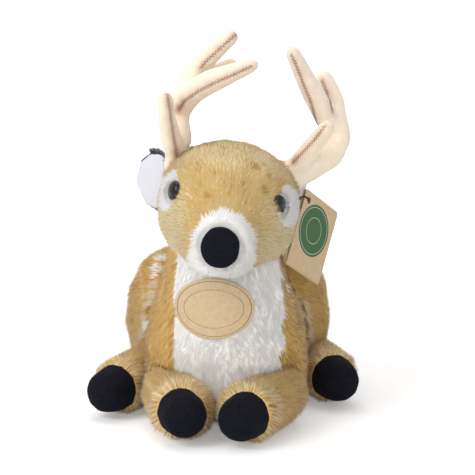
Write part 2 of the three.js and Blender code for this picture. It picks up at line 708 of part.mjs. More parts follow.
const neckRoom = ball(neckPoint, seatRadius(NECK_RADIUS, NECK_SIDES), NECK_SIDES);
const antlers = bothSides(antlerPieces);
const ears = bothSides(earPieces);
const eyes = bothSides((side) => eyePieces(side, headSkin));
const headCut = joined([
  neckRoom,
  ...SIDES.map((side) => antlers[side].socket),
  ...SIDES.map((side) => ears[side].socket),
  ...SIDES.map((side) => eyes[side].seat),
  ...SIDES.map((side) => eyes[side].washerRoom),
]);
const headShell = headSkin.subtract(headForm(-PLUSH, innerHead)).subtract(headCut);
const whiteRooms = joined([muzzleWhite(SEAM_GAP), ...SIDES.map((side) => eyes[side].patchRoom)]);
const headStuffing = headForm(-PLUSH - SEAM_GAP, innerHead).subtract(headCut);
const nosePad = noseForm().subtract(headForm(SEAM_GAP));

// Group that turns about an axis through a pivot, between two angles in degrees
function bodyGroup(parent, joint, pivot, axis, low, high) {
  const group = new THREE.Group();
  group.position.copy(pivot).sub(parent.userData.pivot);
  group.userData = { joint, pivot: pivot.clone(), axis: axis.clone(), low, high };
  parent.add(group);
  return group;
}

function addPiece(group, name, body, colour, roughness = 0.95) {
  const pivot = group.userData.pivot;
  const geometry = geometryOf(body).translate(-pivot.x, -pivot.y, -pivot.z);
  const material = new THREE.MeshStandardMaterial({ color: colour, roughness, metalness: 0 });
  const mesh = new THREE.Mesh(geometry, material);
  mesh.name = name;
  group.add(mesh);
}

const nodAxis = new THREE.Vector3(-1, 0, 0); // lifts the muzzle

const stag = new THREE.Group();
stag.userData.pivot = new THREE.Vector3(0, 0, 0);

addPiece(stag, "body_cover", bodyShell.subtract(chestWhite(SEAM_GAP)), SKIN.fur);
addPiece(stag, "chest_panel", bodyShell.intersect(chestWhite(0)), SKIN.white);
addPiece(stag, "body_stuffing", bodyStuffing, SKIN.white);
addPiece(stag, "chest_badge", chestBadge(), CARD, 0.8);
for (const side of SIDES) {
  addPiece(stag, "thigh_cover_" + side, thighs[side].cover.subtract(hindLegs[side].socket), SKIN.fur);
  addPiece(stag, "thigh_stuffing_" + side, thighs[side].stuffing.subtract(hindLegs[side].socket), SKIN.white);
  const shoulder = vector(FORELEG_LINE[side].root);
  const fore = bodyGroup(stag, "foreleg_splay_" + side, shoulder, outward[side], 0, FORELEG.sweep);
  addPiece(fore, "foreleg_cover_" + side, forelegs[side].cover, SKIN.fur);
  addPiece(fore, "foreleg_stuffing_" + side, forelegs[side].stuffing, SKIN.white);
  addPiece(fore, "fore_hoof_" + side, forelegs[side].hoof, SKIN.felt);
  const hip = vector(HIND_LINE[side].root);
  const hind = bodyGroup(stag, "hind_leg_splay_" + side, hip, outward[side], 0, HIND_LEG.sweep);
  addPiece(hind, "hind_leg_cover_" + side, hindLegs[side].cover, SKIN.fur);
  addPiece(hind, "hind_leg_stuffing_" + side, hindLegs[side].stuffing, SKIN.white);
  addPiece(hind, "hind_hoof_" + side, hindLegs[side].hoof, SKIN.felt);
}
const tailGroup = bodyGroup(stag, "tail_lift", vector(TAIL.root), across, 0, TAIL.sweep);
addPiece(tailGroup, "tail_top", tailPieces.top, SKIN.fur);
addPiece(tailGroup, "tail_underside", tailPieces.underside, SKIN.white);

const neckGroup = bodyGroup(stag, "head_turn", vector(neckPoint), UP, -HEAD_TURN, HEAD_TURN);
addPiece(neckGroup, "neck_stuffing", neckDome, SKIN.white);
const head = bodyGroup(neckGroup, "head_nod", vector(neckPoint), nodAxis, 0, HEAD_NOD);
addPiece(head, "head_cover", headShell.subtract(whiteRooms), SKIN.fur);
addPiece(head, "muzzle_panel", headShell.intersect(muzzleWhite(0)), SKIN.white);
addPiece(head, "head_stuffing", headStuffing, SKIN.white);
addPiece(head, "nose_pad", nosePad, SKIN.felt);
for (const side of SIDES) {
  const { eye, washer, patch } = eyes[side];
  addPiece(head, "eye_patch_" + side, headShell.intersect(patch), SKIN.white);
  addPiece(head, "eye_" + side, eye, 0x080706, 0.08);
  addPiece(head, "eye_washer_" + side, washer, 0xe6e4de, 0.5);
  const { root: earRoot, axis: earAxis } = ears[side];
  const ear = bodyGroup(head, "ear_fold_" + side, earRoot, earAxis, -EAR_BACK, EAR_FORWARD);
  addPiece(ear, "ear_back_" + side, ears[side].back, SKIN.dark);
  addPiece(ear, "ear_lining_" + side, ears[side].lining, SKIN.white);
  const { root: base, axis: bend } = antlers[side];
  const antler = bodyGroup(head, "antler_bend_" + side, base, bend, -ANTLER_BEND, ANTLER_BEND);
  addPiece(antler, "antler_cover_" + side, antlers[side].cover, SKIN.antler);
  addPiece(antler, "antler_stuffing_" + side, antlers[side].stuffing, SKIN.white);
}
addPiece(head, "tag_loop", tagLoop(), SKIN.dark, 0.7);
const tagGroup = bodyGroup(head, "tag_swing", tagHole, tagFacing, 0, TAG_SWING);
addPiece(tagGroup, "hang_tag", hangTag(), CARD, 0.8);

export default stag;
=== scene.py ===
"""Plush stag: the pile, felt, velour, satin, card and thread of a toy stag that lies on its belly."""

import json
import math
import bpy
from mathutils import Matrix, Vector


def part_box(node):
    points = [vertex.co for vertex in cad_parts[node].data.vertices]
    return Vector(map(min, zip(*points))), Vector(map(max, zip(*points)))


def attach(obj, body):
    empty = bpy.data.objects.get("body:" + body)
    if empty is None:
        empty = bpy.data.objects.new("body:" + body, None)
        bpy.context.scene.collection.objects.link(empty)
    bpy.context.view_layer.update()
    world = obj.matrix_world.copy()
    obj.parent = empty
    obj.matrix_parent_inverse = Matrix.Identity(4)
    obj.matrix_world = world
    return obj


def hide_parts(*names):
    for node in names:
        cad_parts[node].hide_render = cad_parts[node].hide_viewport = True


bl_info = {
    "name": "Plush Stag",
    "version": (1, 0, 0),
    "blender": (4, 5, 0),
    "location": "3D View > Sidebar > Stag",
    "description": "Dresses a lying toy stag in plush, felt, velour and card",
    "category": "Add Mesh",
}

from itertools import product

import bmesh
import bpy
import numpy as np
from bpy.props import FloatProperty, FloatVectorProperty, PointerProperty
from bpy.types import NodeSocket, Operator, Panel, PropertyGroup
from mathutils import Matrix, Vector
from mathutils.bvhtree import BVHTree

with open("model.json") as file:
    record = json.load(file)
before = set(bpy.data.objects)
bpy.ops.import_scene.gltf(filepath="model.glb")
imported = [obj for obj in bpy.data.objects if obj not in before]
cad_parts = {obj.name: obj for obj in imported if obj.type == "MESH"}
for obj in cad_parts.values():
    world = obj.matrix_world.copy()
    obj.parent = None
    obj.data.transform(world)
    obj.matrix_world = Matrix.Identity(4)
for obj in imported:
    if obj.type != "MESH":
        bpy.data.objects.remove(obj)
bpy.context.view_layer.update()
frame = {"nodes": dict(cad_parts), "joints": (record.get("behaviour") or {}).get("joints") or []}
NODES = frame["nodes"]
JOINTS = {joint["name"]: joint for joint in frame["joints"]}

MM = 0.001
SIDES = {"right": -1, "left": 1}
NECK = np.array(JOINTS["head_nod"]["pos_m"])
X_AXIS = np.array([1.0, 0, 0])
UP = np.array([0, 0, 1.0])
PICTURE = 475  # pixels along each side of the picture

# The head's lean towards its left and its turn, about the neck point
HEAD_ROLL = math.radians(7)
HEAD_YAW = math.radians(4)
HEAD_MIDDLE = -3 * MM
HEAD_TURN = np.array(Matrix.Rotation(HEAD_YAW, 3, "Z") @ Matrix.Rotation(HEAD_ROLL, 3, "Y"))


# Sizes and colours


def length_prop(name, about, value):
    return FloatProperty(name=name, description=about, default=value, unit="LENGTH")


def angle_prop(name, about, value):
    return FloatProperty(name=name, description=about, default=value, subtype="ANGLE")


def shade_prop(name, about, colour):
    return FloatVectorProperty(
        name=name, description=about, default=colour, subtype="COLOR", size=3, min=0, max=1
    )


class PileSizes(PropertyGroup):
    """Cut of the plush on the stag."""

    body_length: length_prop("Body pile", "Length of the body's pile", 5.2 * MM)
    head_length: length_prop("Head pile", "Length of the head's pile", 3.9 * MM)
    leg_length: length_prop("Leg pile", "Length of the legs' pile", 5.8 * MM)
    ear_length: length_prop("Ear pile", "Length of the fringe round the ears", 5 * MM)
    felt_length: length_prop("Felt fuzz", "Length of the felt's fuzz", 0.8 * MM)
    width: length_prop("Tuft width", "Width of a tuft at its root", 0.6 * MM)
    ground: length_prop("Ground depth", "Depth of the backing under the pile's outline", 2.2 * MM)


class ClothColours(PropertyGroup):
    """Dyes of the stag's cloths, card and thread."""

    tan: shade_prop("Tan", "Main colour of the coat", (0.62, 0.35, 0.09))
    tan_light: shade_prop("Light tan", "Light tufts of the coat", (0.7, 0.45, 0.155))
    # Dark tan and brown tufts also paint shade on the stag's left side.
    tan_dark: shade_prop("Dark tan", "Dark tufts of the coat", (0.5, 0.265, 0.06))
    brown: shade_prop("Brown", "Fawn marks and shaded crown", (0.36, 0.18, 0.05))
    gold: shade_prop("Gold", "Main colour of the head", (0.69, 0.48, 0.19))
    # Straw tufts also paint the highlight along the top of the forehead.
    straw: shade_prop("Straw", "Pale tufts of the head and the hooves' edges", (0.84, 0.67, 0.38))
    white: shade_prop("White", "Chest, muzzle and marks", (0.96, 0.95, 0.925))
    cream: shade_prop("Cream", "Warm tufts of the white", (0.92, 0.88, 0.82))
    fawn: shade_prop("Fawn", "Pale strip of the flanks", (0.68, 0.52, 0.36))
    ear_dark: shade_prop("Ear back", "Backs of the ears", (0.03, 0.028, 0.03))
    satin: shade_prop("Satin", "Linings of the ears", (0.66, 0.665, 0.71))
    felt: shade_prop("Felt", "Nose and hooves", (0.006, 0.006, 0.01))
    velour: shade_prop("Velour", "Antlers", (0.86, 0.75, 0.6))
    # The seam colour also paints shade where tines fork and at the antlers' roots.
    seam: shade_prop("Seam", "Airbrushed seams of the antlers", (0.45, 0.25, 0.17))
    card: shade_prop("Card", "Badge and hang tag", (0.54, 0.41, 0.25))
    print_green: shade_prop("Green print", "Plain oval on the hang tag", (0.02, 0.12, 0.05))


class StageSizes(PropertyGroup):
    """Where the camera stands."""

    azimuth: angle_prop("Azimuth", "Camera's turn round the stag", math.radians(5.5))
    elevation: angle_prop("Elevation", "Camera's height angle", math.radians(9))
    distance: length_prop("Distance", "From the camera to the stag", 1.0)
    view_width: length_prop("View width", "Width of the view at the stag", 0.2945)
    aim_right: length_prop("Aim right", "Aim beside the stag's middle", 7.7 * MM)
    aim_height: length_prop("Aim height", "Height of the aim", 113 * MM)


def sizes():
    return bpy.context.scene.stag_pile


def dyes():
    return bpy.context.scene.stag_colours


# Numbers over space

CELL_PRIMES = np.array([73856093, 19349663, 83492791])
SEED_PRIME = 668265263
MIX_PRIME = 1274126177


def drift(points, size, seed):
    """Smooth random values from -1 to 1 that change over about size metres."""
    cell = points / size
    low = np.floor(cell).astype(np.int64)
    share = cell - low
    share = share * share * (3 - 2 * share)
    total = np.zeros(len(points))
    for corner in product((0, 1), repeat=3):
        at = (low + np.array(corner)) * CELL_PRIMES
        mixed = at[:, 0] ^ at[:, 1] ^ at[:, 2] ^ seed * SEED_PRIME
        mixed = (mixed ^ (mixed >> 13)) * MIX_PRIME
        value = ((mixed ^ (mixed >> 16)) & 0xFFFF) / 32767.5 - 1
        weight = np.prod(np.where(np.array(corner) == 1, share, 1 - share), axis=1)
        total += weight * value
    return total


def drifts(points, size, seed):
    """Three drifts, as columns."""
    return np.column_stack([drift(points, size, seed + i) for i in range(3)])


def unit(vectors):
    length = np.linalg.norm(vectors, axis=-1, keepdims=True)
    return vectors / np.maximum(length, 1e-9)


def step(values, low, high):
    share = np.clip((values - low) / (high - low), 0, 1)
    return share * share * (3 - 2 * share)


def bell(away, reach):
    return np.exp(-((away / reach) ** 2))


def distance(points, place):
    return np.linalg.norm(points - place, axis=1)


def span(points):
    """Middle and half size of some points' box."""
    low, high = np.min(points, axis=0), np.max(points, axis=0)
    return (low + high) / 2, (high - low) / 2


def node_span(node):
    return span(np.array(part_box(node)))


def on_head(points):
    """World points in the upright head's own frame, from the neck point and the head's middle."""
    return (points - NECK) @ HEAD_TURN - X_AXIS * HEAD_MIDDLE


def from_head(points):
    """The other way, for points or one point."""
    return (np.array(points) + X_AXIS * HEAD_MIDDLE) @ HEAD_TURN.T + NECK


# Meshes

# Each soft form's voxel size, its rounds of smoothing, and how far it is set in. The first four are
# set in by the depth of the pile's ground besides.
FORMS = {
    "torso": (2.2 * MM, 20, -1.2 * MM),
    "haunch": (2 * MM, 20, -0.8 * MM),
    "leg": (1.8 * MM, 14, -0.8 * MM),
    "head": (1.8 * MM, 20, -1.0 * MM),
    "tail": (1.2 * MM, 8, 0.6 * MM),
    "filling": (2 * MM, 4, 0.0),
    "hoof": (1.5 * MM, 60, -0.4 * MM),
    "ear_back": (0.9 * MM, 16, 0.2 * MM),
    "ear_lining": (0.8 * MM, 16, -0.6 * MM),
    "antler": (1.25 * MM, 30, -0.35 * MM),
}
# Rounds of the means over which a stuffed tube's lost girth is even, and where its tips begin
EASE = {"near": 6, "even": 60, "tip_start": 0.4 * MM, "tip_end": 1.4 * MM}
WELD = 1e-6  # corners nearer than this many metres are one
ON_AXIS = 1e-7  # a turned ring smaller than this is one point
PROBE = Vector((0.31, 0.17, 0.93)).normalized()  # slants, so that it meets no edge
PROBE_STEP = 0.01 * MM


def link(name, data, materials=()):
    piece = bpy.data.objects.new(name, data)
    bpy.context.scene.collection.objects.link(piece)
    for entry in materials:
        data.materials.append(entry)
    return piece


def applied(piece):
    """A mesh of the piece as its modifiers or its outline make it."""
    graph = bpy.context.evaluated_depsgraph_get()
    return bpy.data.meshes.new_from_object(piece.evaluated_get(graph))


def mesh_from(name, shape):
    """A mesh from a bmesh, which is freed."""
    mesh = bpy.data.meshes.new(name)
    shape.to_mesh(mesh)
    shape.free()
    return mesh


def read(items, name, width, kind=float):
    """One property of a mesh's elements, a row for each."""
    flat = np.empty(len(items) * width, kind)
    items.foreach_get(name, flat)
    return flat.reshape(-1, width)


def places(mesh):
    return read(mesh.vertices, "co", 3)


def normals_of(mesh):
    return read(mesh.vertex_normals, "vector", 3)


def edge_ends(mesh):
    return read(mesh.edges, "vertices", 2, np.int64)


def triangles(mesh):
    mesh.calc_loop_triangles()
    return read(mesh.loop_triangles, "vertices", 3, np.int64)


def put(mesh, points):
    mesh.vertices.foreach_set("co", points.ravel())
    mesh.update()


def outer_shell(mesh):
    """Drops all but the largest island, and turns its faces outward."""
    ends = edge_ends(mesh)
    label = np.arange(len(mesh.vertices))
    while True:
        low = np.minimum(label[ends[:, 0]], label[ends[:, 1]])
        new = label.copy()
        np.minimum.at(new, ends[:, 0], low)
        np.minimum.at(new, ends[:, 1], low)
        new = new[new]
        if (new == label).all():
            break
        label = new
    points = places(mesh)
    names, owner = np.unique(label, return_inverse=True)
    reach = [np.linalg.norm(np.ptp(points[owner == i], axis=0)) for i in range(len(names))]
    kept = owner == int(np.argmax(reach))
    shape = bmesh.new()
    shape.from_mesh(mesh)
    loose = [v for v, keep in zip(shape.verts, kept) if not keep]
    bmesh.ops.delete(shape, geom=loose, context="VERTS")
    if shape.calc_volume(signed=True) < 0:
        bmesh.ops.reverse_faces(shape, faces=shape.faces)
    shape.to_mesh(mesh)
    shape.free()


def neighbour_mean(mesh):
    """A function that gives the mean of each point's neighbours, for one or more columns."""
    ends = edge_ends(mesh)
    count = np.bincount(ends.ravel(), minlength=len(mesh.vertices))

    def mean(values):
        columns = values.reshape(len(values), -1)
        total = np.empty_like(columns)
        for i in range(columns.shape[1]):
            there = np.bincount(ends[:, 0], columns[ends[:, 1], i], len(columns))
            back = np.bincount(ends[:, 1], columns[ends[:, 0], i], len(columns))
            total[:, i] = there + back
        return (total / count[:, None]).reshape(values.shape)

    return mean


def relax(mesh, rounds):
    """Evens the surface out and keeps its volume: a step in and a slightly longer step out."""
    mean = neighbour_mean(mesh)
    points = places(mesh)
    for share in [0.5, -0.52] * rounds:
        points += share * (mean(points) - points)
    put(mesh, points)


def ease_bends(mesh, rounds):
    """Rounds the kinks of a stuffed tube off. What the tube loses in girth is given back evenly
    along it, and its tips keep their length."""
    mean = neighbour_mean(mesh)
    before = places(mesh)
    points = before.copy()
    for _ in range(rounds):
        points += 0.5 * (mean(points) - points)
    put(mesh, points)
    out = normals_of(mesh)
    near = ((before - points) * out).sum(axis=1)
    for _ in range(EASE["near"]):
        near = mean(near)
    even = near
    for _ in range(EASE["even"]):
        even = mean(even)
    tip = step(near - even, EASE["tip_start"], EASE["tip_end"])
    put(mesh, points + (even + tip * (near - even))[:, None] * out)


def soft_form(kind, name, nodes, ground=0.0):
    """One smooth closed form over the outside of some CAD nodes, set in by the pile's ground."""
    voxel, rounds, inset = FORMS[kind]
    shape = bmesh.new()
    for node in nodes:
        shape.from_mesh(NODES[node].data)
    bmesh.ops.remove_doubles(shape, verts=shape.verts, dist=WELD)
    piece = link(name, mesh_from(name, shape))
    remesh = piece.modifiers.new("Even faces", "REMESH")
    remesh.mode = "VOXEL"
    remesh.voxel_size = voxel
    mesh = applied(piece)
    piece.modifiers.clear()
    piece.data = mesh
    outer_shell(mesh)
    relax(mesh, rounds)
    put(mesh, places(mesh) - (ground + inset) * normals_of(mesh))
    mesh.shade_smooth()
    return piece


def tree_of(mesh):
    return BVHTree.FromPolygons(places(mesh).tolist(), triangles(mesh).tolist())


def is_inside(tree, point):
    """Whether a point lies inside a closed form: a line out of it then crosses an odd number of
    walls."""
    walls = 0
    hit = tree.ray_cast(point, PROBE)[0]
    while hit is not None:
        walls += 1
        hit = tree.ray_cast(hit + PROBE * PROBE_STEP, PROBE)[0]
    return walls % 2 == 1


def buried(points, names, depth):
    """Which points lie deeper than depth inside any of the named forms."""
    found = np.zeros(len(points), bool)
    for name in names:
        tree = tree_of(bpy.data.objects[name].data)
        for i in np.flatnonzero(~found):
            point = Vector(points[i])
            away = (tree.find_nearest(point)[0] - point).length
            found[i] = away > depth and is_inside(tree, point)
    return found


def closed_mesh(name, points, faces):
    """A smooth mesh from arrays of points and triangles."""
    mesh = bpy.data.meshes.new(name)
    mesh.vertices.add(len(points))
    mesh.vertices.foreach_set("co", points.ravel())
    mesh.loops.add(faces.size)
    mesh.loops.foreach_set("vertex_index", faces.ravel().astype(np.int32))
    mesh.polygons.add(len(faces))
    mesh.polygons.foreach_set("loop_start", np.arange(0, faces.size, 3, dtype=np.int32))
    mesh.update(calc_edges=True)
    mesh.shade_smooth()
    return mesh


# Camera


def camera_stand():
    """The camera's place and turn."""
    stage = bpy.context.scene.stag_stage
    lift = Matrix.Rotation(math.pi / 2 - stage.elevation, 3, "X")
    turn = Matrix.Rotation(stage.azimuth, 3, "Z") @ lift
    right = Vector((math.cos(stage.azimuth), math.sin(stage.azimuth), 0))
    aim = right * stage.aim_right + Vector((0, 0, stage.aim_height))
    return aim + turn @ Vector((0, 0, stage.distance)), turn


def camera_ray(x, y):
    """From the camera through a place in the picture."""
    stage = bpy.context.scene.stag_stage
    place, turn = camera_stand()
    focal = stage.distance / stage.view_width * PICTURE
    own = np.array([x - PICTURE / 2, PICTURE / 2 - y, -focal])
    return np.array(place), unit(np.array(turn) @ own)


def picked(tree, x, y):
    """The place on a form that the camera sees at a place in the picture."""
    eye, way = camera_ray(x, y)
    hit = tree.ray_cast(Vector(eye), Vector(way))[0]
    return None if hit is None else np.array(hit)


def picture_size(pixels):
    return pixels * bpy.context.scene.stag_stage.view_width / PICTURE


# Pile

TUFTS = {
    "torso": 49500, "haunch": 30000, "leg": 20000, "tail": 9000, "head": 49500, "ear": 14000,
    "hoof": 14000, "nose": 9000,
}
TUFT_FACES = np.array([[0, 1, 3], [1, 2, 3], [2, 0, 3], [0, 2, 1]])
ROOT_DEPTH = 0.4 * MM
FLOOR_ROOT = 1.2 * MM  # no tuft grows lower
FLOOR_TIP = 0.4 * MM  # and no tip reaches lower
# Neighbouring tufts form locks: widths of the locks that sway, grow and are dyed alike
LOCKS = {"sway": 5 * MM, "wide_sway": 14 * MM, "length": 8 * MM, "dye": 9 * MM}
# Shares by which tufts differ, by themselves or from lock to lock
VARY = {
    "wide_sway": 0.6, "lie": 0.6, "shortest": 0.7, "longer": 0.45, "longer_lock": 0.15,
    "thinnest": 0.7, "thicker": 0.6, "dye": 0.35,
}
RIDGE = 0.2  # a tuft's height at its root, as a share of its width
# How far a tuft's normals turn from the ground's: up where it hangs, and to its tip and its sides
FACING = {"up": 0.8, "tip": 0.35, "side": 0.3}


def scatter(mesh, count, rng):
    """Points and normals spread evenly over a mesh."""
    corners = triangles(mesh)
    points, normals = places(mesh), normals_of(mesh)
    a, b, c = (points[corners[:, i]] for i in range(3))
    area = np.linalg.norm(np.cross(b - a, c - a), axis=1)
    pick = rng.choice(len(corners), count, p=area / area.sum())
    share = rng.random((count, 2))
    over = share.sum(axis=1) > 1
    share[over] = 1 - share[over]
    weights = np.column_stack([1 - share.sum(axis=1), share])
    at = sum(weights[:, i, None] * points[corners[pick, i]] for i in range(3))
    out = sum(weights[:, i, None] * normals[corners[pick, i]] for i in range(3))
    return at, unit(out)


def pile(name, body, ground, count, length, flow, colour, seed, lean=0.88, spread=0.15, width=None,
         keep=None, materials=None):
    """Pointed closed tufts over a ground form. flow gives the way that the pile lies, colour the
    material of each tuft, and keep which places have pile."""
    rng = np.random.default_rng(seed)
    at, out = scatter(ground.data, count, rng)
    kept = at[:, 2] > FLOOR_ROOT
    if keep is not None:
        kept &= keep(at, out)
    at, out = at[kept], out[kept]
    count = len(at)
    way = flow(at, out)
    way = unit(way - out * (way * out).sum(axis=1, keepdims=True))
    sway = drifts(at, LOCKS["sway"], seed)
    sway += VARY["wide_sway"] * drifts(at, LOCKS["wide_sway"], seed + 5)
    along = unit(
        way * lean + out * math.sqrt(1 - lean * lean) + spread * sway
        + VARY["lie"] * spread * rng.normal(size=(count, 3))
    )
    long = length * (
        VARY["shortest"] + VARY["longer"] * rng.random(count)
        + VARY["longer_lock"] * drift(at, LOCKS["length"], seed + 9)
    )
    wide = (width or sizes().width) * (VARY["thinnest"] + VARY["thicker"] * rng.random(count))
    beside = unit(np.cross(along, out))
    above = np.cross(beside, along)
    root = at - out * ROOT_DEPTH
    tip = root + along * long[:, None]
    tip[:, 2] = np.maximum(tip[:, 2], FLOOR_TIP)
    right = beside * wide[:, None] / 2
    ridge = above * wide[:, None] * RIDGE
    corners = np.stack([root + right, root - right, root + ridge, tip], axis=1)
    faces = (np.arange(count)[:, None, None] * 4 + TUFT_FACES[None]).reshape(-1, 3)
    mesh = closed_mesh(name, corners.reshape(-1, 3), faces)
    mesh.polygons.foreach_set("material_index", np.repeat(colour(at, out, rng), 4).astype(np.int32))
    out = unit(out + FACING["up"] * np.clip(-out[:, 2:], 0, 1) * UP)
    facing = np.repeat(out[:, None], 4, axis=1)
    facing[:, 3] = unit(out + FACING["tip"] * along)
    facing[:, 0] = unit(out + FACING["side"] * beside)
    facing[:, 1] = unit(out - FACING["side"] * beside)
    mesh.normals_split_custom_set_from_vertices(facing.reshape(-1, 3))
    coat = link(name, mesh, materials or coat_shades())
    coat.visible_shadow = False  # the ground casts the shadows, so the pile stays soft
    dress(coat, body)


# Shader parts


def feed(tree, node, inputs):
    """Sets a node's inputs. Each is a plain value, or the socket that feeds it."""
    for name, value in inputs.items():
        if isinstance(value, NodeSocket):
            tree.links.new(value, node.inputs[name])
        else:
            node.inputs[name].default_value = value


def add(tree, kind, inputs=None, **settings):
    node = tree.nodes.new(kind)
    for name, value in settings.items():
        setattr(node, name, value)
    feed(tree, node, inputs or {})
    return node


def calc(tree, operation, *values):
    return add(tree, "ShaderNodeMath", dict(enumerate(values)), operation=operation).outputs[0]


def object_place(tree):
    return add(tree, "ShaderNodeTexCoord").outputs["Object"]


def cloud(tree, scale, detail=3.0):
    """Noise over the piece, features about 1/scale metres wide."""
    inputs = {"Vector": object_place(tree), "Scale": scale, "Detail": detail}
    return add(tree, "ShaderNodeTexNoise", inputs).outputs["Fac"]


def ranged(tree, value, low=0.0, high=1.0, start=0.0, end=1.0, **settings):
    """A value from start to end, brought to low to high."""
    inputs = {"Value": value, "From Min": start, "From Max": end, "To Min": low, "To Max": high}
    return add(tree, "ShaderNodeMapRange", inputs, **settings).outputs["Result"]


def blend(tree, share, first, second):
    inputs = {"Factor": share, "A": first, "B": second}
    return add(tree, "ShaderNodeMix", inputs, data_type="RGBA").outputs["Result"]


def bump(tree, height, strength, depth):
    inputs = {"Height": height, "Strength": strength, "Distance": depth}
    return add(tree, "ShaderNodeBump", inputs).outputs["Normal"]


def effect(name, inputs, outputs):
    """A node group with named sockets. Each is (name, kind, default)."""
    tree = bpy.data.node_groups.new(name, "ShaderNodeTree")
    for label, kind, value in inputs:
        socket = tree.interface.new_socket(label, in_out="INPUT", socket_type="NodeSocket" + kind)
        if value is not None:
            socket.default_value = value
    for label, kind in outputs:
        tree.interface.new_socket(label, in_out="OUTPUT", socket_type="NodeSocket" + kind)
    return tree, add(tree, "NodeGroupInput").outputs, add(tree, "NodeGroupOutput")


def two_tone():
    """Two dyes mixed in patches, with fibre relief."""
    found = bpy.data.node_groups.get("Two tone cloth")
    if found:
        return found
    tree, start, end = effect(
        "Two tone cloth",
        [("Shade A", "Color", (1, 1, 1, 1)), ("Shade B", "Color", (0, 0, 0, 1)),
         ("Patches", "Float", 160.0), ("Fibres", "Float", 1400.0)],
        [("Color", "Color"), ("Roughness", "Float"), ("Height", "Float")],
    )
    fibres = cloud(tree, start["Fibres"], 2.0)
    both = calc(tree, "ADD", cloud(tree, start["Patches"]), fibres)
    share = ranged(tree, both, start=0.75, end=1.25)
    feed(tree, end, {
        "Color": blend(tree, share, start["Shade A"], start["Shade B"]),
        "Roughness": ranged(tree, fibres, low=0.8),
        "Height": fibres,
    })
    return tree


def rgba(colour):
    return tuple(min(1.0, c) for c in colour) + (1.0,)


def tint(colour, factor):
    return [factor * c for c in colour]


def weave(tree, first, second, patches, fibres):
    """Outputs of the two tone effect."""
    inputs = {"Shade A": rgba(first), "Shade B": rgba(second), "Patches": patches, "Fibres": fibres}
    return add(tree, "ShaderNodeGroup", inputs, node_tree=two_tone()).outputs


def blank(name):
    """A new material, its nodes and its shader, or a finished one and nothing more."""
    entry = bpy.data.materials.get(name)
    if entry:
        return entry, None, None
    entry = bpy.data.materials.new(name)
    entry.use_nodes = True
    return entry, entry.node_tree, entry.node_tree.nodes["Principled BSDF"]


def surface(tree, shader, woven, colour, relief, depth, finish):
    """Feeds a shader from the two tone effect and from plain values."""
    normal = bump(tree, woven["Height"], relief, depth)
    feed(tree, shader, {"Base Color": colour, "Roughness": woven["Roughness"], "Normal": normal})
    feed(tree, shader, finish)


def cloth(name, first, second, patches=160.0, fibres=1400.0, relief=0.5, sheen=0.3, specular=0.2,
          coat=0.0):
    """Cloth of two dyes."""
    entry, tree, shader = blank(name)
    if tree is None:
        return entry
    woven = weave(tree, first, second, patches, fibres)
    finish = {"Sheen Weight": sheen, "Specular IOR Level": specular, "Coat Weight": coat}
    surface(tree, shader, woven, woven["Color"], relief, 0.4 * MM, finish)
    return entry


def tuft_shade(name, colour, sheen=0.15):
    """One dyed shade of tufts. Light passes a little way through them."""
    entry, tree, shader = blank(name)
    if tree is None:
        return entry
    feed(tree, shader, {
        "Base Color": rgba(colour),
        "Roughness": 0.75,
        "Sheen Weight": sheen,
        "Specular IOR Level": 0.12,
        "Subsurface Weight": 0.35,
        "Subsurface Radius": (1.0, 1.0, 1.0),
        "Subsurface Scale": 0.4 * MM,
    })
    return entry


# Coat

TAN, LIGHT, DARK, BROWN, WHITE, CREAM, FAWN, GOLD, STRAW = range(9)
BODY_SHADES = (TAN, LIGHT, DARK, BROWN)
HEAD_SHADES = (GOLD, LIGHT, TAN, DARK)
SHADE_SHARES = (0.54, 0.3, 0.14, 0.02)  # of the four plain shades
SHARES = {"dark": 0.6, "marked": 0.9, "white": 0.8}  # the others are brown, unmarked and cream

# Fawn marks: each is a picture place and a radius in the picture, and later ones lie on top
BODY_MARKS = [
    (FAWN, [(157, 284, 6), (154, 294, 6), (150, 304, 6), (146, 316, 6), (143, 330, 6), (141, 344, 6),
            (304, 303, 6), (307, 316, 6), (309, 329, 6), (309, 340, 6)]),
    (BROWN, [(151, 310, 5), (149, 340, 5), (295, 302, 4), (296, 313, 4), (297, 324, 4), (298, 335, 4)]),
    (WHITE, [(165, 259, 6), (161, 267, 6), (157, 275, 4), (149, 324, 6), (286, 286, 5), (292, 293, 5),
             (308, 350, 7)]),
]
BROW_MARKS = [
    (DARK, [(254, 168, 4), (263, 166, 4), (262, 191, 4), (268, 178, 3), (214, 175, 3), (207, 198, 3),
            (228, 196, 3), (243, 186, 3)]),
]


def coat_shades():
    """The coat's shades, in the order of the shade numbers."""
    dye = dyes()
    named = {
        "tan": dye.tan, "light tan": dye.tan_light, "dark tan": dye.tan_dark, "brown": dye.brown,
        "white": dye.white, "cream": dye.cream, "fawn": dye.fawn, "gold": dye.gold,
        "straw": dye.straw,
    }
    return [tuft_shade("Tuft " + name, colour) for name, colour in named.items()]


def coat_colour(rng, points, seed, white, marks=None, dark=None, pale=None, plain=BODY_SHADES):
    """Shade numbers for a coat. white is a mask, marks gives a shade or -1, and dark and pale are
    shares from 0 to 1 of darker and of straw tufts."""
    value = rng.random(len(points)) + VARY["dye"] * drift(points, LOCKS["dye"], seed)
    shade_of = np.array(plain)[np.searchsorted(np.cumsum(SHADE_SHARES)[:-1], value)]
    if pale is not None:
        shade_of[rng.random(len(points)) < pale] = STRAW
    if dark is not None:
        deep = rng.random(len(points)) < dark
        shade_of[deep] = np.where(rng.random(deep.sum()) < SHARES["dark"], DARK, BROWN)
    if marks is not None:
        marked = (marks >= 0) & (rng.random(len(points)) < SHARES["marked"])
        shade_of[marked] = marks[marked]
    shade_of[white] = np.where(rng.random(white.sum()) < SHARES["white"], WHITE, CREAM)
    return shade_of


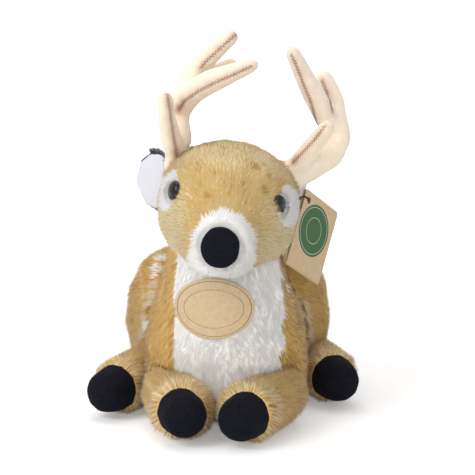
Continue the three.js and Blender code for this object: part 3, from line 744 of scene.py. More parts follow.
def picked_marks(form, points, marks):
    """Shade of the marks at each point, or -1. The marks are laid on the form from the camera."""
    tree = tree_of(form.data)
    found = np.full(len(points), -1)
    ragged = 1.5 * MM * drift(points, 4 * MM, 35)
    for tone, picks in marks:
        for x, y, radius in picks:
            place = picked(tree, x, y)
            if place is not None:
                found[distance(points, place) + ragged < picture_size(radius)] = tone
    return found


def back_marks(points, start, seed):
    """Small white spots behind start, above the flanks."""
    high = (points[:, 1] > start) & (points[:, 2] > 55 * MM)
    return np.where(high & (drift(points, 9 * MM, seed) > 0.52), WHITE, -1)


def no_white(points):
    return np.zeros(len(points), bool)


def ground_coat(piece, white):
    """Tan and white cloth on a form's faces. white says which of its points are white."""
    dye = dyes()
    mesh = piece.data
    mesh.materials.append(cloth("Tan plush ground", dye.tan, dye.tan_light))
    mesh.materials.append(cloth("White plush ground", dye.cream, dye.white))
    index = white(read(mesh.polygons, "center", 3)).astype(np.int32)
    mesh.polygons.foreach_set("material_index", index)


def dress(piece, body, nodes=()):
    """Puts a piece on its body, and hides the CAD nodes that it stands in for."""
    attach(piece, body)
    if nodes:
        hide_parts(*nodes)


# Torso

CHEST_WHITE = {"x": 5 * MM, "half": 32.5 * MM, "low": 15 * MM, "rise": 20 * MM, "back": -14 * MM}
NECK_ROOM = 42 * MM  # the head's underside is a hollow of this radius


def chest_is_white(points):
    """A panel down the chest, with a ragged edge and rounded lower corners."""
    x = np.abs(points[:, 0] - CHEST_WHITE["x"])
    edge = 2.2 * MM * drift(points, 9 * MM, 71)
    low = CHEST_WHITE["low"] + CHEST_WHITE["rise"] * (x / CHEST_WHITE["half"]) ** 3
    white = (x + edge < CHEST_WHITE["half"]) & (points[:, 2] + edge > low)
    return white & (points[:, 1] < CHEST_WHITE["back"])


def badge_span():
    """The badge's middle and half size, across and upward."""
    middle, half = node_span("chest_badge")
    return middle[[0, 2]], half[[0, 2]]


def under_badge(points, margin):
    middle, half = badge_span()
    share = (points[:, [0, 2]] - middle) / (half + margin)
    return (np.linalg.norm(share, axis=1) < 1) & (points[:, 1] < 0)


def torso_flow(points, normals):
    """Down and outward on the chest, back and down behind it."""
    front = 1 - step(points[:, 1], -30 * MM, 10 * MM)
    out = 0.22 * np.sign(points[:, 0] - CHEST_WHITE["x"]) * front
    return np.column_stack([out, 1 - front, -0.55 - 0.45 * front])


def make_torso():
    nodes = ["body_cover", "chest_panel", "body_stuffing"]
    form = soft_form("torso", "torso_form", nodes + ["neck_stuffing"], sizes().ground)
    ground_coat(form, chest_is_white)
    dress(form, "torso", nodes)

    def keep(points, normals):
        high = distance(points, NECK) < NECK_ROOM - 9 * MM
        hidden = high & (points[:, 2] > NECK[2] + 12 * MM)
        return ~hidden & ~under_badge(points, -1.5 * MM)

    def colour(points, normals, rng):
        marks = np.maximum(picked_marks(form, points, BODY_MARKS), back_marks(points, 30 * MM, 33))
        flanks = 0.4 * step(np.abs(points[:, 0]), 30 * MM, 44 * MM) * (points[:, 1] > -20 * MM)
        # Painted shade: the stag's left side faces away from the key lamp, so it takes more dark tan
        # and brown tufts.
        dark = np.maximum(flanks, 0.5 * step(points[:, 0], 26 * MM, 38 * MM))
        return coat_colour(rng, points, 11, chest_is_white(points), marks, dark)

    pile(
        "torso_pile", "torso", form, TUFTS["torso"], sizes().body_length, torso_flow, colour, 11,
        keep=keep,
    )
    make_filling()


def make_filling():
    """Polyester filling that the neck turns on."""
    dye = dyes()
    filling = soft_form("filling", "neck_filling", ["neck_stuffing"])
    filling.data.materials.append(cloth("Polyester filling", dye.white, dye.cream, 300.0, 700.0, 0.8))
    dress(filling, "neck", ["neck_stuffing"])


# Haunches and legs

SEAM_FRINGE = {"reach": 9 * MM, "length": 7.5 * MM, "count": 90000}
LEGS = {"foreleg": "fore_hoof", "hind_leg": "hind_hoof"}
CUFF = {"push": 3.2 * MM, "start": 17 * MM, "end": 30 * MM}


def haunch_flow(points, normals):
    """Out over the haunch, down and back."""
    way = np.tile([0.0, 0.4, -0.75], (len(points), 1))
    way[:, 0] = 0.6 * np.sign(points[:, 0])
    return way


def make_haunches():
    for side, sign in SIDES.items():
        nodes = [f"thigh_cover_{side}", f"thigh_stuffing_{side}"]
        form = soft_form("haunch", f"haunch_form_{side}", nodes, sizes().ground)
        ground_coat(form, no_white)
        dress(form, "torso", nodes)

        def keep(points, normals):
            return ~buried(points, ["torso_form"], 1 * MM)

        def colour(points, normals, rng):
            marks = np.maximum(picked_marks(form, points, BODY_MARKS), back_marks(points, 62 * MM, 47))
            dark = 0.25 * step(points[:, 2], 40 * MM, 90 * MM)
            return coat_colour(rng, points, 21, no_white(points), marks, dark)

        pile(
            f"haunch_pile_{side}", "torso", form, TUFTS["haunch"], sizes().body_length, haunch_flow,
            colour, 21 + sign, keep=keep,
        )
        make_seam_fringe(side, sign, form)


def make_seam_fringe(side, sign, haunch):
    """Hair of the torso that lies over the seam of a haunch."""
    torso = bpy.data.objects["torso_form"]
    tree = tree_of(haunch.data)

    def nearest(points):
        return np.array([tree.find_nearest(Vector(point))[0] for point in points]).reshape(-1, 3)

    def keep(points, normals):
        kept = (np.abs(points[:, 0]) > 22 * MM) & (points[:, 1] < 40 * MM)
        kept[kept] = distance(points[kept], nearest(points[kept])) < SEAM_FRINGE["reach"]
        kept[kept] = ~buried(points[kept], [haunch.name], 0.3 * MM)
        return kept

    def flow(points, normals):
        return unit(nearest(points) - points) + 0.5 * unit(torso_flow(points, normals))

    def colour(points, normals, rng):
        marks = picked_marks(torso, points, BODY_MARKS)
        return coat_colour(rng, points, 23, chest_is_white(points), marks)

    pile(
        f"seam_fringe_{side}", "torso", torso, SEAM_FRINGE["count"], SEAM_FRINGE["length"], flow,
        colour, 23 + sign, lean=0.8, keep=keep,
    )


def hoof_place(kind, side):
    """A hoof's middle and half size, and the leg's way to it."""
    hoof, half = node_span(f"{LEGS[kind]}_{side}")
    return hoof, half, unit(hoof - np.array(JOINTS[f"{kind}_splay_{side}"]["pos_m"]))


def away_from(points, middle, along):
    """The way from a line through middle to each point, at right angles to it."""
    off = points - middle
    return unit(off - (off @ along)[:, None] * along)


def fill_cuff(mesh, hoof, along, sign):
    """Pushes a foreleg's form out beside its hoof, toward the other leg."""
    points = places(mesh)
    out = away_from(points, hoof, along)
    inner = np.clip(out @ np.array([-sign, 0.0, 0.0]), 0, 1)
    near = 1 - step(distance(points, hoof), CUFF["start"], CUFF["end"])
    near *= 1 - step((points - hoof) @ along, -2 * MM, 4 * MM)
    put(mesh, points + out * (CUFF["push"] * inner * near)[:, None])


def make_legs():
    """The legs' forms run on unseen under the hooves' felt, and their pile ends at it."""
    for kind, (side, sign) in product(LEGS, SIDES.items()):
        body = f"{kind}_{side}"
        nodes = [f"{kind}_cover_{side}", f"{kind}_stuffing_{side}"]
        hidden = [f"{LEGS[kind]}_{side}"]
        hoof, half, along = hoof_place(kind, side)
        form = soft_form("leg", f"{kind}_form_{side}", nodes + hidden, sizes().ground)
        if kind == "foreleg":
            fill_cuff(form.data, hoof, along, sign)
        ground_coat(form, no_white)
        dress(form, body, nodes)

        def flow(points, normals):
            return 0.8 * away_from(points, hoof, along) - 0.35 * along - 0.4 * UP

        def keep(points, normals):
            deep = buried(points, ["torso_form", f"haunch_form_{side}"], 0.8 * MM)
            on_hoof = np.linalg.norm((points - hoof) / half, axis=1) < 0.98
            return ~deep & ~on_hoof & (normals @ along < 0.8)

        def colour(points, normals, rng):
            near = 1 - step(distance(points, hoof), 16 * MM, 30 * MM)
            return coat_colour(rng, points, 31, no_white(points), pale=0.45 * near)

        pile(
            f"{kind}_pile_{side}", body, form, TUFTS["leg"], sizes().leg_length, flow, colour,
            31 + sign, lean=0.76, keep=keep,
        )


def fuzz(name, body, ground, count, seed, keep):
    """Short felt fuzz that stands off a form."""
    dye = dyes()

    def flow(points, normals):
        return drifts(points, 2 * MM, seed) + 0.01

    def colour(points, normals, rng):
        value = rng.random(len(points))
        return np.where(value < 0.02, 2, (value < 0.25).astype(int))

    shades = [
        tuft_shade("Felt fibre", dye.felt, 0.0),
        tuft_shade("Felt fibre grey", tint(dye.felt, 2.5), 0.0),
        tuft_shade("Felt lint", tint(dye.felt, 9), 0.0),
    ]
    pile(
        name, body, ground, count, sizes().felt_length, flow, colour, seed, lean=0.5, spread=0.5,
        width=0.3 * MM, keep=keep, materials=shades,
    )


def felt():
    dye = dyes()
    return cloth("Black felt", dye.felt, tint(dye.felt, 1.8), 500.0, 2200.0, 0.7, 0.01, 0.05)


def make_hooves():
    for kind, side in product(LEGS, SIDES):
        node = f"{LEGS[kind]}_{side}"
        body = f"{kind}_{side}"
        form = soft_form("hoof", node + "_felt", [node])
        form.data.materials.append(felt())
        dress(form, body, [node])
        hoof, _, along = hoof_place(kind, side)

        def keep(points, normals):
            return (points - hoof) @ along > -4 * MM

        fuzz(node + "_fuzz", body, form, TUFTS["hoof"], 41, keep)


def make_tail():
    nodes = ["tail_top", "tail_underside"]
    form = soft_form("tail", "tail_form", nodes)
    front = node_span("tail_underside")[0][1]

    def under(points):
        return points[:, 1] < front + 0.4 * (55 * MM - points[:, 2])

    ground_coat(form, under)
    dress(form, "tail", nodes)

    def flow(points, normals):
        return np.tile([0, 0.45, -0.9], (len(points), 1))

    def colour(points, normals, rng):
        return coat_colour(rng, points, 51, (normals[:, 1] < -0.25) & (points[:, 2] < 58 * MM))

    pile("tail_pile", "tail", form, TUFTS["tail"], sizes().body_length, flow, colour, 51, lean=0.85)


# Head

MUZZLE = {
    "x": 1.2 * MM, "z": 29 * MM, "half_width": 18 * MM, "half_height": 19.3 * MM, "back": -46 * MM,
}
NOSE_Y = -78 * MM
NOSE_DENT = {"depth": 2.2 * MM, "start": 11 * MM, "end": 15 * MM}
NOSE_FULL = 0.8  # 1 is an ellipsoid, less is a fuller pillow
FLAT_CHEEK = {"depth": 1.8 * MM, "start": 22 * MM, "end": 36 * MM}
FRINGE = {"round_eye": 10 * MM, "round_antler": 14 * MM, "length": 6 * MM, "count": 110000}
BARE_NOSE = 10.8 * MM  # no pile grows this near the nose's middle
BARE_EYE = 5.2 * MM  # and this near an eye's
EYE = {"x": 27.5 * MM, "y": -40 * MM, "z": 51.5 * MM, "turn": math.radians(52), "lift": math.radians(7)}
EYE_SIZE = {"radius": 6 * MM, "seat": 5.7 * MM, "dome": 2.7 * MM}
EYE_SEAT = {"right": (1 * MM, math.radians(11)), "left": (2.5 * MM, 0.0)}  # way to the nose, turn out
EYE_WHITE = {"out": 8 * MM, "up": -0.5 * MM, "half_width": 15 * MM, "half_height": 11.5 * MM}


def eye_facing(sign):
    facing = [sign * math.sin(EYE["turn"]), -math.cos(EYE["turn"]), math.tan(EYE["lift"])]
    return unit(np.array(facing))


def eye_outward(sign):
    """Along the head's skin from an eye toward the ear."""
    facing = eye_facing(sign)
    return unit(np.array([-facing[1] * sign, facing[0] * sign, 0]))


def eye_place(side, sign):
    """The eye's seat and the way it faces, from its CAD node."""
    facing = unit(HEAD_TURN @ eye_facing(sign))
    outward = HEAD_TURN @ eye_outward(sign)
    points = places(NODES[f"eye_{side}"].data)
    middle = span(points)[0]
    depth = (points @ facing).max() - EYE_SIZE["seat"]
    shift, turn = EYE_SEAT[side]
    seat = middle - facing * (middle @ facing) + facing * depth - shift * outward
    return seat, math.cos(turn) * facing + math.sin(turn) * outward


def nose_distance(own, nose):
    """Distance from the nose's middle, with half of what lies before or behind it."""
    return np.linalg.norm((own - on_head(nose[None])) / [1, 2, 1], axis=1)


def face_is_white(points):
    """An arch round the nose that stays open below, and a patch round each eye."""
    own = on_head(points)
    edge = 1.2 * MM * drift(points, 6 * MM, 81)
    u = (own[:, 0] - MUZZLE["x"]) / MUZZLE["half_width"]
    v = np.maximum(0, own[:, 2] - MUZZLE["z"]) / MUZZLE["half_height"]
    white = (np.hypot(u, v) + edge / (20 * MM) < 1) & (own[:, 1] < MUZZLE["back"])
    for sign in SIDES.values():
        off = own - np.array([sign * EYE["x"], EYE["y"], EYE["z"]])
        u = (off @ eye_outward(sign) - EYE_WHITE["out"]) / EYE_WHITE["half_width"]
        v = (off[:, 2] - EYE_WHITE["up"]) / EYE_WHITE["half_height"]
        white |= (np.hypot(u, v) + edge / (10 * MM) < 1) & (off @ eye_facing(sign) > -14 * MM)
    return white


def head_flow(points, normals):
    """Back from the nose over the head, and down on the cheeks."""
    own = on_head(points)
    way = own - np.array([0, NOSE_Y - 14 * MM, 33 * MM])
    way[:, 2] -= 0.35 * np.abs(own[:, 0])
    return unit(way) @ HEAD_TURN.T


def make_head():
    nodes = ["head_cover", "muzzle_panel", "head_stuffing", "eye_patch_right", "eye_patch_left"]
    form = soft_form("head", "head_form", nodes, sizes().ground)
    nose = node_span("nose_pad")[0]
    own = on_head(places(form.data))
    own[:, 0] += FLAT_CHEEK["depth"] * step(-own[:, 0], FLAT_CHEEK["start"], FLAT_CHEEK["end"])
    dent = 1 - step(nose_distance(own, nose), NOSE_DENT["start"], NOSE_DENT["end"])
    own[:, 1] += NOSE_DENT["depth"] * dent
    put(form.data, from_head(own))
    ground_coat(form, face_is_white)
    dress(form, "head", nodes)

    def keep(points, normals):
        bare = distance(points, NECK) < NECK_ROOM + 0.5 * MM
        bare |= nose_distance(on_head(points), nose) < BARE_NOSE
        for side, sign in SIDES.items():
            bare |= distance(points, eye_place(side, sign)[0]) < BARE_EYE
        return ~bare

    def colour(points, normals, rng):
        own = on_head(points)
        crown = 0.3 * step(own[:, 2], 66 * MM, 84 * MM) * step(own[:, 1], -34 * MM, -4 * MM)
        cheek = step(np.abs(own[:, 0]), 14 * MM, 30 * MM) * (1 - step(own[:, 2], 46 * MM, 62 * MM))
        # Painted highlight: straw tufts on the top of the forehead where the light grazes it, with
        # paler fibre tips there.
        top = step(own[:, 2], 62 * MM, 76 * MM) * (1 - step(own[:, 1], -30 * MM, -10 * MM))
        marks = picked_marks(form, points, BROW_MARKS)
        pale = 0.04 + 0.78 * cheek + 0.6 * top
        return coat_colour(rng, points, 61, face_is_white(points), marks, crown, pale, HEAD_SHADES)

    pile(
        "head_pile", "head", form, TUFTS["head"], sizes().head_length, head_flow, colour, 61,
        lean=0.8, spread=0.18, keep=keep,
    )


def make_fringe():
    """Longer hair that stands behind each eye and over the antlers' roots."""
    eyes = [(eye_place(side, sign)[0], HEAD_TURN @ eye_outward(sign)) for side, sign in SIDES.items()]
    roots = [np.array(JOINTS[f"antler_bend_{side}"]["pos_m"]) for side in SIDES]

    def keep(points, normals):
        kept = np.zeros(len(points), bool)
        for place, outward in eyes:
            away = distance(points, place)
            behind = (points - place) @ outward > 1.5 * MM
            kept |= behind & (away > 5.4 * MM) & (away < FRINGE["round_eye"])
        for root in roots:
            kept |= distance(points, root) < FRINGE["round_antler"]
        return kept

    def flow(points, normals):
        targets = [place for place, outward in eyes] + roots
        away = np.stack([distance(points, target) for target in targets])
        return np.array(targets)[away.argmin(axis=0)] - points

    def colour(points, normals, rng):
        return coat_colour(rng, points, 63, face_is_white(points), plain=HEAD_SHADES)

    form = bpy.data.objects["head_form"]
    pile(
        "head_fringe", "head", form, FRINGE["count"], FRINGE["length"], flow, colour, 63, lean=0.6,
        keep=keep,
    )


def lathe(name, profile, around):
    """A closed turned shape along Z. Its profile starts and ends on the axis."""
    shape = bmesh.new()
    turns = [(math.cos(a), math.sin(a)) for a in (2 * math.pi * j / around for j in range(around))]
    rows = []
    for radius, height in profile:
        if radius < ON_AXIS:
            rows.append([shape.verts.new((0, 0, height))] * around)
        else:
            rows.append([shape.verts.new((radius * x, radius * y, height)) for x, y in turns])
    for low, high in zip(rows, rows[1:]):
        for j in range(around):
            k = (j + 1) % around
            corners = [low[j], low[k], high[k], high[j]]
            shape.faces.new(list(dict.fromkeys(corners)))
    mesh = mesh_from(name, shape)
    mesh.shade_smooth()
    return mesh


def make_nose():
    """A round felt pillow that fills the place of the nose pad."""
    middle, half = span(on_head(places(NODES["nose_pad"].data)))
    half = half * [0.97, 1, 0.97]
    rings, around = 24, 56
    profile = [(0.0, -1.0)]
    for i in range(1, rings):
        angle = math.pi * (i / rings - 0.5)
        height = math.copysign(abs(math.sin(angle)) ** NOSE_FULL, angle)
        profile.append((math.cos(angle) ** NOSE_FULL, height))
    profile.append((0.0, 1.0))
    mesh = lathe("nose_felt", profile, around)
    points = places(mesh)
    turned = np.column_stack([points[:, 0], -points[:, 2], points[:, 1]])
    lumps = 1 + 0.02 * drift(turned, 0.5, 72)[:, None]
    put(mesh, from_head(middle + turned * half * lumps))
    form = link("nose_felt", mesh, [felt()])
    dress(form, "head", ["nose_pad"])
    facing = from_head([0, -1, 0]) - from_head([0, 0, 0])

    def keep(points, normals):
        return normals @ facing > -0.3

    fuzz("nose_fuzz", "head", form, TUFTS["nose"], 71, keep)


def make_eyes():
    entry, tree, shader = blank("Polished black eye")
    feed(tree, shader, {
        "Base Color": (0.002, 0.002, 0.002, 1),
        "Specular IOR Level": 0.3,
        "Roughness": ranged(tree, cloud(tree, 700.0), 0.02, 0.07),
    })
    rings, around = 14, 40
    radius = EYE_SIZE["radius"]
    profile = [(0.0, -2 * MM), (radius * 0.6, -2 * MM), (radius, -0.6 * MM)]
    for i in range(rings):
        angle = math.pi / 2 * i / (rings - 1)
        profile.append((radius * math.cos(angle), EYE_SIZE["dome"] * math.sin(angle)))
    for side, sign in SIDES.items():
        seat, facing = eye_place(side, sign)
        mesh = lathe(f"eye_bead_{side}", profile, around)
        turn = Vector(UP).rotation_difference(Vector(facing)).to_matrix().to_4x4()
        mesh.transform(Matrix.Translation(Vector(seat)) @ turn)
        bead = link(mesh.name, mesh, [entry])
        dress(bead, "head", [f"eye_{side}"])


# Ears

EAR_RISE = {"right": 7 * MM, "left": 0.0}
EAR_CORNER = 0.28


def make_ears():
    """Ears: satin on the hollow side, dark pile behind and at the upper and lower edges."""
    dye = dyes()
    grey = tint(dye.ear_dark, 3)
    dark = [tuft_shade("Tuft ear dark", dye.ear_dark, 0.0), tuft_shade("Tuft ear grey", grey, 0.0)]
    plush = cloth("Dark ear plush", dye.ear_dark, tint(dye.ear_dark, 2))
    satin = cloth("White satin", dye.satin, tint(dye.satin, 1.05), 220.0, 2600.0, 0.25, 0.2, coat=0.15)
    for side, sign in SIDES.items():
        body = f"ear_{side}"
        back = soft_form("ear_back", f"ear_back_form_{side}", [f"ear_back_{side}"])
        back.data.materials.append(plush)
        dress(back, body, [f"ear_back_{side}"])
        lining = soft_form("ear_lining", f"ear_lining_form_{side}", [f"ear_lining_{side}"])
        lining.data.materials.append(satin)
        dress(lining, body, [f"ear_lining_{side}"])
        middle = places(lining.data).mean(axis=0)
        hollow = unit(middle - places(back.data).mean(axis=0))
        along = unit(middle - np.array(JOINTS[f"ear_fold_{side}"]["pos_m"]))
        rim = unit(np.cross(along, hollow))
        rim *= np.sign(rim[2])
        half = [np.abs((places(lining.data) - middle) @ way).max() for way in (along, rim)]
        for form in (back, lining):
            points = places(form.data)
            put(form.data, points + ear_stretch(points - middle, along, rim, half, side))
        middle = middle + EAR_RISE[side] * rim / 2

        def flow(points, normals):
            off = points - middle
            return 0.4 * along + np.sign(off @ rim)[:, None] * rim

        def keep(points, normals):
            off = points - middle
            reach = np.hypot(off @ along / half[0], off @ rim / half[1])
            behind = (normals @ hollow < -0.3) & (reach < 0.7)
            end = np.where(off @ rim > 0, -4 * MM, 1 * MM)
            return behind | ((normals @ hollow < 0.6) & (off @ along < end))

        def colour(points, normals, rng):
            return (rng.random(len(points)) < 0.25).astype(int)

        pile(
            f"ear_pile_{side}", body, back, TUFTS["ear"], sizes().ear_length, flow, colour,
            91 + sign, spread=0.4, width=0.5 * MM, keep=keep, materials=dark,
        )


def ear_stretch(off, along, rim, half, side):
    """How far an ear's cloth lies from its form: higher, and with a fuller upper tip."""
    u, v = off @ along / half[0], off @ rim / half[1]
    fuller = EAR_CORNER * np.clip(u, 0, 1) * np.clip(v, 0, 1)
    rise = EAR_RISE[side] * (0.5 + 0.5 * np.clip(v, -1, 1))
    outward = (u * half[0])[:, None] * along + (v * half[1])[:, None] * rim
    return rise[:, None] * rim + fuller[:, None] * outward


# Antlers: brown stitched seams run along the front of each tine. Points are picture places,
# laid on the velour from the camera.

SEAM_PICKS = {
    "right": [
        [(177, 157), (174, 138), (171, 118), (169, 104), (167, 94)],
        [(179, 110), (184, 101), (197, 92), (214, 83), (233, 75), (252, 66)],
        [(201, 68), (206, 61), (214, 54), (226, 43), (236, 34)],
    ],
    "left": [
        [(292, 163), (303, 152), (314, 140), (325, 126)],
        [(291, 54), (297, 68), (304, 86), (311, 103), (315, 118), (318, 129)],
        [(322, 80), (328, 95), (333, 112)],
    ],
}
# Painted shade where tines fork and at the seams' lower ends by the antlers' roots: picture place and
# radius
FORK_SHADE_PICKS = {
    "right": [(181, 103, 8), (178, 110, 6), (177, 152, 6)],
    "left": [(315, 122, 6), (294, 161, 6)],
}
SEAM_REACH = 3.6 * MM  # half width of the airbrushed shade beside a seam
SEAM_LINE = 0.9 * MM  # and of its darkest line
SEAM_GROOVE = {"depth": 0.5 * MM, "reach": 1.3 * MM}
SEAM_JUMP = 5 * MM  # a seam stays on its tine
TINE_THICK = 30 * MM  # a seam behind a tine is nearer than this
STITCH = {"pitch": 2.2 * MM, "swing": 0.9 * MM, "radius": 0.22 * MM, "sides": 5}


def evenly(points, pitch):
    """Points a pitch apart along a line."""
    points = np.array(points, float)
    lengths = np.linalg.norm(np.diff(points, axis=0), axis=1)
    run = np.concatenate([[0], np.cumsum(lengths)])
    at = np.linspace(0, run[-1], max(2, int(run[-1] / pitch)))
    return np.column_stack([np.interp(at, run, points[:, i]) for i in range(points.shape[1])])


def smooth_line(line):
    line = line.copy()
    for _ in range(6):
        line[1:-1] = (line[:-2] + 2 * line[1:-1] + line[2:]) / 4
    return line


def seam_lines(tree, side):
    """Seams on the front of the velour, and the ones behind them."""
    lines = []
    for picks in SEAM_PICKS[side]:
        front, rear = [], []
        depth = None
        for x, y in evenly(picks, 1.0):
            eye, way = camera_ray(x, y)
            hit = tree.ray_cast(Vector(eye), Vector(way))[0]
            reach = None if hit is None else (np.array(hit) - eye) @ way
            if hit is None or (depth and abs(reach - depth) > SEAM_JUMP):
                if depth is None:
                    continue
                hit = tree.find_nearest(Vector(eye + way * depth))[0]
            front.append(np.array(hit))
            depth = (front[-1] - eye) @ way
            through = tree.ray_cast(Vector(front[-1] + way * MM), Vector(way), TINE_THICK)[0]
            if through is not None:
                rear.append(np.array(through))
        lines += [smooth_line(np.array(line)) for line in (front, rear) if len(line) > 4]
    return lines


def thread_mesh(name, line):
    """A closed thread along a line."""
    count, sides = len(line), STITCH["sides"]
    ways = unit(np.gradient(line, axis=0))
    helper = np.where(np.abs(ways[:, :1]) < 0.8, X_AXIS, UP)
    beside = unit(np.cross(ways, helper))
    above = np.cross(ways, beside)
    angles = 2 * np.pi * np.arange(sides) / sides
    right, up = np.cos(angles)[None, :, None], np.sin(angles)[None, :, None]
    rings = line[:, None] + STITCH["radius"] * (right * beside[:, None] + up * above[:, None])
    points = np.concatenate([rings.reshape(-1, 3), line[:1], line[-1:]])
    base = np.arange(count - 1) * sides
    last = (count - 1) * sides
    faces = []
    for j in range(sides):
        k = (j + 1) % sides
        faces.append(np.column_stack([base + j, base + k, base + sides + k]))
        faces.append(np.column_stack([base + j, base + sides + k, base + sides + j]))
        faces.append(np.array([[count * sides, k, j], [count * sides + 1, last + j, last + k]]))
    return closed_mesh(name, points, np.concatenate(faces))


def zigzag(tree, line):
    """Stitches that swing from side to side over a seam."""
    line = evenly(smooth_line(line), STITCH["pitch"] / 2)
    ways = unit(np.gradient(line, axis=0))
    made = []
    for i, (point, way) in enumerate(zip(line, ways)):
        normal = np.array(tree.find_nearest(Vector(point))[1])
        swing = STITCH["swing"] * (1 if i % 2 else -1)
        beside = Vector(point + unit(np.cross(way, normal)) * swing)
        made.append(np.array(tree.find_nearest(beside)[0]) + 0.6 * STITCH["radius"] * normal)
    return np.array(made)


def velour():
    """Short napped velour, with airbrushed seams and painted shade in the tines' forks, both from one
    point attribute of the mesh.
    """
    entry, tree, shader = blank("Cream velour")
    if tree is None:
        return entry
    dye = dyes()
    woven = weave(tree, dye.velour, tint(dye.velour, 1.12), 260.0, 2400.0)
    spray_and_shade = add(tree, "ShaderNodeAttribute", attribute_name="seam_airbrush_and_fork_shade").outputs["Fac"]
    colour = blend(tree, spray_and_shade, woven["Color"], rgba(dye.seam))
    finish = {"Sheen Weight": 0.5, "Specular IOR Level": 0.15}
    surface(tree, shader, woven, colour, 0.5, 0.25 * MM, finish)
    return entry


def seam_airbrush_and_fork_shade(tree, side, points, near):
    """How dark the velour is, from 0 to 1: airbrushed seams from the distance to the nearest seam, and
    painted shade where tines fork and at the antlers' roots.
    """
    spray_and_shade = 0.45 * bell(near, SEAM_REACH) + 0.25 * bell(near, SEAM_LINE)
    # Painted shade in the forks of the tines and at the seams' lower ends by the antlers' roots
    for x, y, radius in FORK_SHADE_PICKS[side]:
        place = picked(tree, x, y)
        if place is not None:
            spray_and_shade += 0.5 * bell(distance(points, place), picture_size(radius))
    return np.clip(spray_and_shade * (0.85 + 0.3 * drift(points, 3 * MM, 5)), 0, 1)


def make_antlers():
    dye = dyes()
    thread = cloth("Brown seam thread", dye.seam, tint(dye.seam, 0.6), 900.0, 3000.0, 0.4)
    for side in SIDES:
        body = f"antler_{side}"
        nodes = [f"antler_cover_{side}", f"antler_stuffing_{side}"]
        form = soft_form("antler", f"antler_form_{side}", nodes)
        for _ in range(2):
            ease_bends(form.data, 16)
        tree = tree_of(form.data)
        lines = seam_lines(tree, side)
        points = places(form.data)
        near = np.full(len(points), 1.0)
        for point in np.concatenate([line[::2] for line in lines]):
            near = np.minimum(near, distance(points, point))
        # Airbrushed seams and painted shade in the forks, as one attribute
        mask = form.data.attributes.new("seam_airbrush_and_fork_shade", "FLOAT", "POINT")
        mask.data.foreach_set("value", seam_airbrush_and_fork_shade(tree, side, points, near).astype(np.float32))
        form.data.materials.append(velour())
        groove = SEAM_GROOVE["depth"] * bell(near, SEAM_GROOVE["reach"])
        put(form.data, points - groove[:, None] * normals_of(form.data))
        dress(form, body, nodes)
        for i, line in enumerate(lines):
            name = f"antler_stitches_{side}_{i}"
            stitches = link(name, thread_mesh(name, zigzag(tree, line)), [thread])
            dress(stitches, body)


# Card: badge and hang tag

BADGE_THICK = 0.9 * MM
BADGE_INK = (0.2, 0.13, 0.07)
BADGE_RINGS = [
    ((0.925, 0.91), 0.013, False, BADGE_INK, 0.8),
    ((0.745, 0.63), 0.016, False, BADGE_INK, 0.65),
]
TAG = {
    "width": 43 * MM, "height": 48 * MM, "leaf": 0.55 * MM, "gap": 0.55 * MM, "hole": 2.2 * MM,
    "inset": 5.5 * MM, "corner": 2.5 * MM, "bevel": 0.08 * MM,
}
TAG_TURN = math.radians(62)
TAG_LEAN = math.radians(27)
TAG_OPENING = math.radians(1.5)  # between the two leaves
TAG_PRINT = {"across": 20.3 * MM, "down": 20.4 * MM, "half_width": 18.2 * MM, "half_height": 16.2 * MM}
TAG_PALE = (0.72, 0.7, 0.6)
NO_PRINT = (5, 5)  # a place on the print's map outside the ovals


def oval_rings():
    """Line mask and fill mask of an oval round the middle of a map."""
    found = bpy.data.node_groups.get("Oval line")
    if found:
        return found
    tree, start, end = effect(
        "Oval line",
        [("Vector", "Vector", None), ("Half sizes", "Vector", (1, 1, 1)), ("Width", "Float", 0.02)],
        [("Line", "Float"), ("Inside", "Float")],
    )
    halves = {0: start["Vector"], 1: start["Half sizes"]}
    share = add(tree, "ShaderNodeVectorMath", halves, operation="DIVIDE").outputs["Vector"]
    length = add(tree, "ShaderNodeVectorMath", {0: share}, operation="LENGTH").outputs["Value"]
    off = calc(tree, "SUBTRACT", length, 1)
    feed(tree, end, {
        "Line": calc(tree, "LESS_THAN", calc(tree, "ABSOLUTE", off), start["Width"]),
        "Inside": calc(tree, "LESS_THAN", off, 0),
    })
    return tree


def card(name, marks):
    """Brown card with printed ovals. Each mark is (half sizes, width, fill, colour, strength)."""
    dye = dyes()
    entry, tree, shader = blank(name)
    woven = weave(tree, dye.card, tint(dye.card, 1.2), 420.0, 1900.0)
    colour = woven["Color"]
    for half_sizes, width, fill, ink, strength in marks:
        where = add(tree, "ShaderNodeUVMap", uv_map="print").outputs["UV"]
        inputs = {"Vector": where, "Half sizes": (*half_sizes, 1), "Width": width}
        oval = add(tree, "ShaderNodeGroup", inputs, node_tree=oval_rings()).outputs
        amount = calc(tree, "MULTIPLY", oval["Inside" if fill else "Line"], strength)
        colour = blend(tree, amount, colour, rgba(ink))
    surface(tree, shader, woven, colour, 0.25, 0.1 * MM, {"Specular IOR Level": 0.25})
    return entry


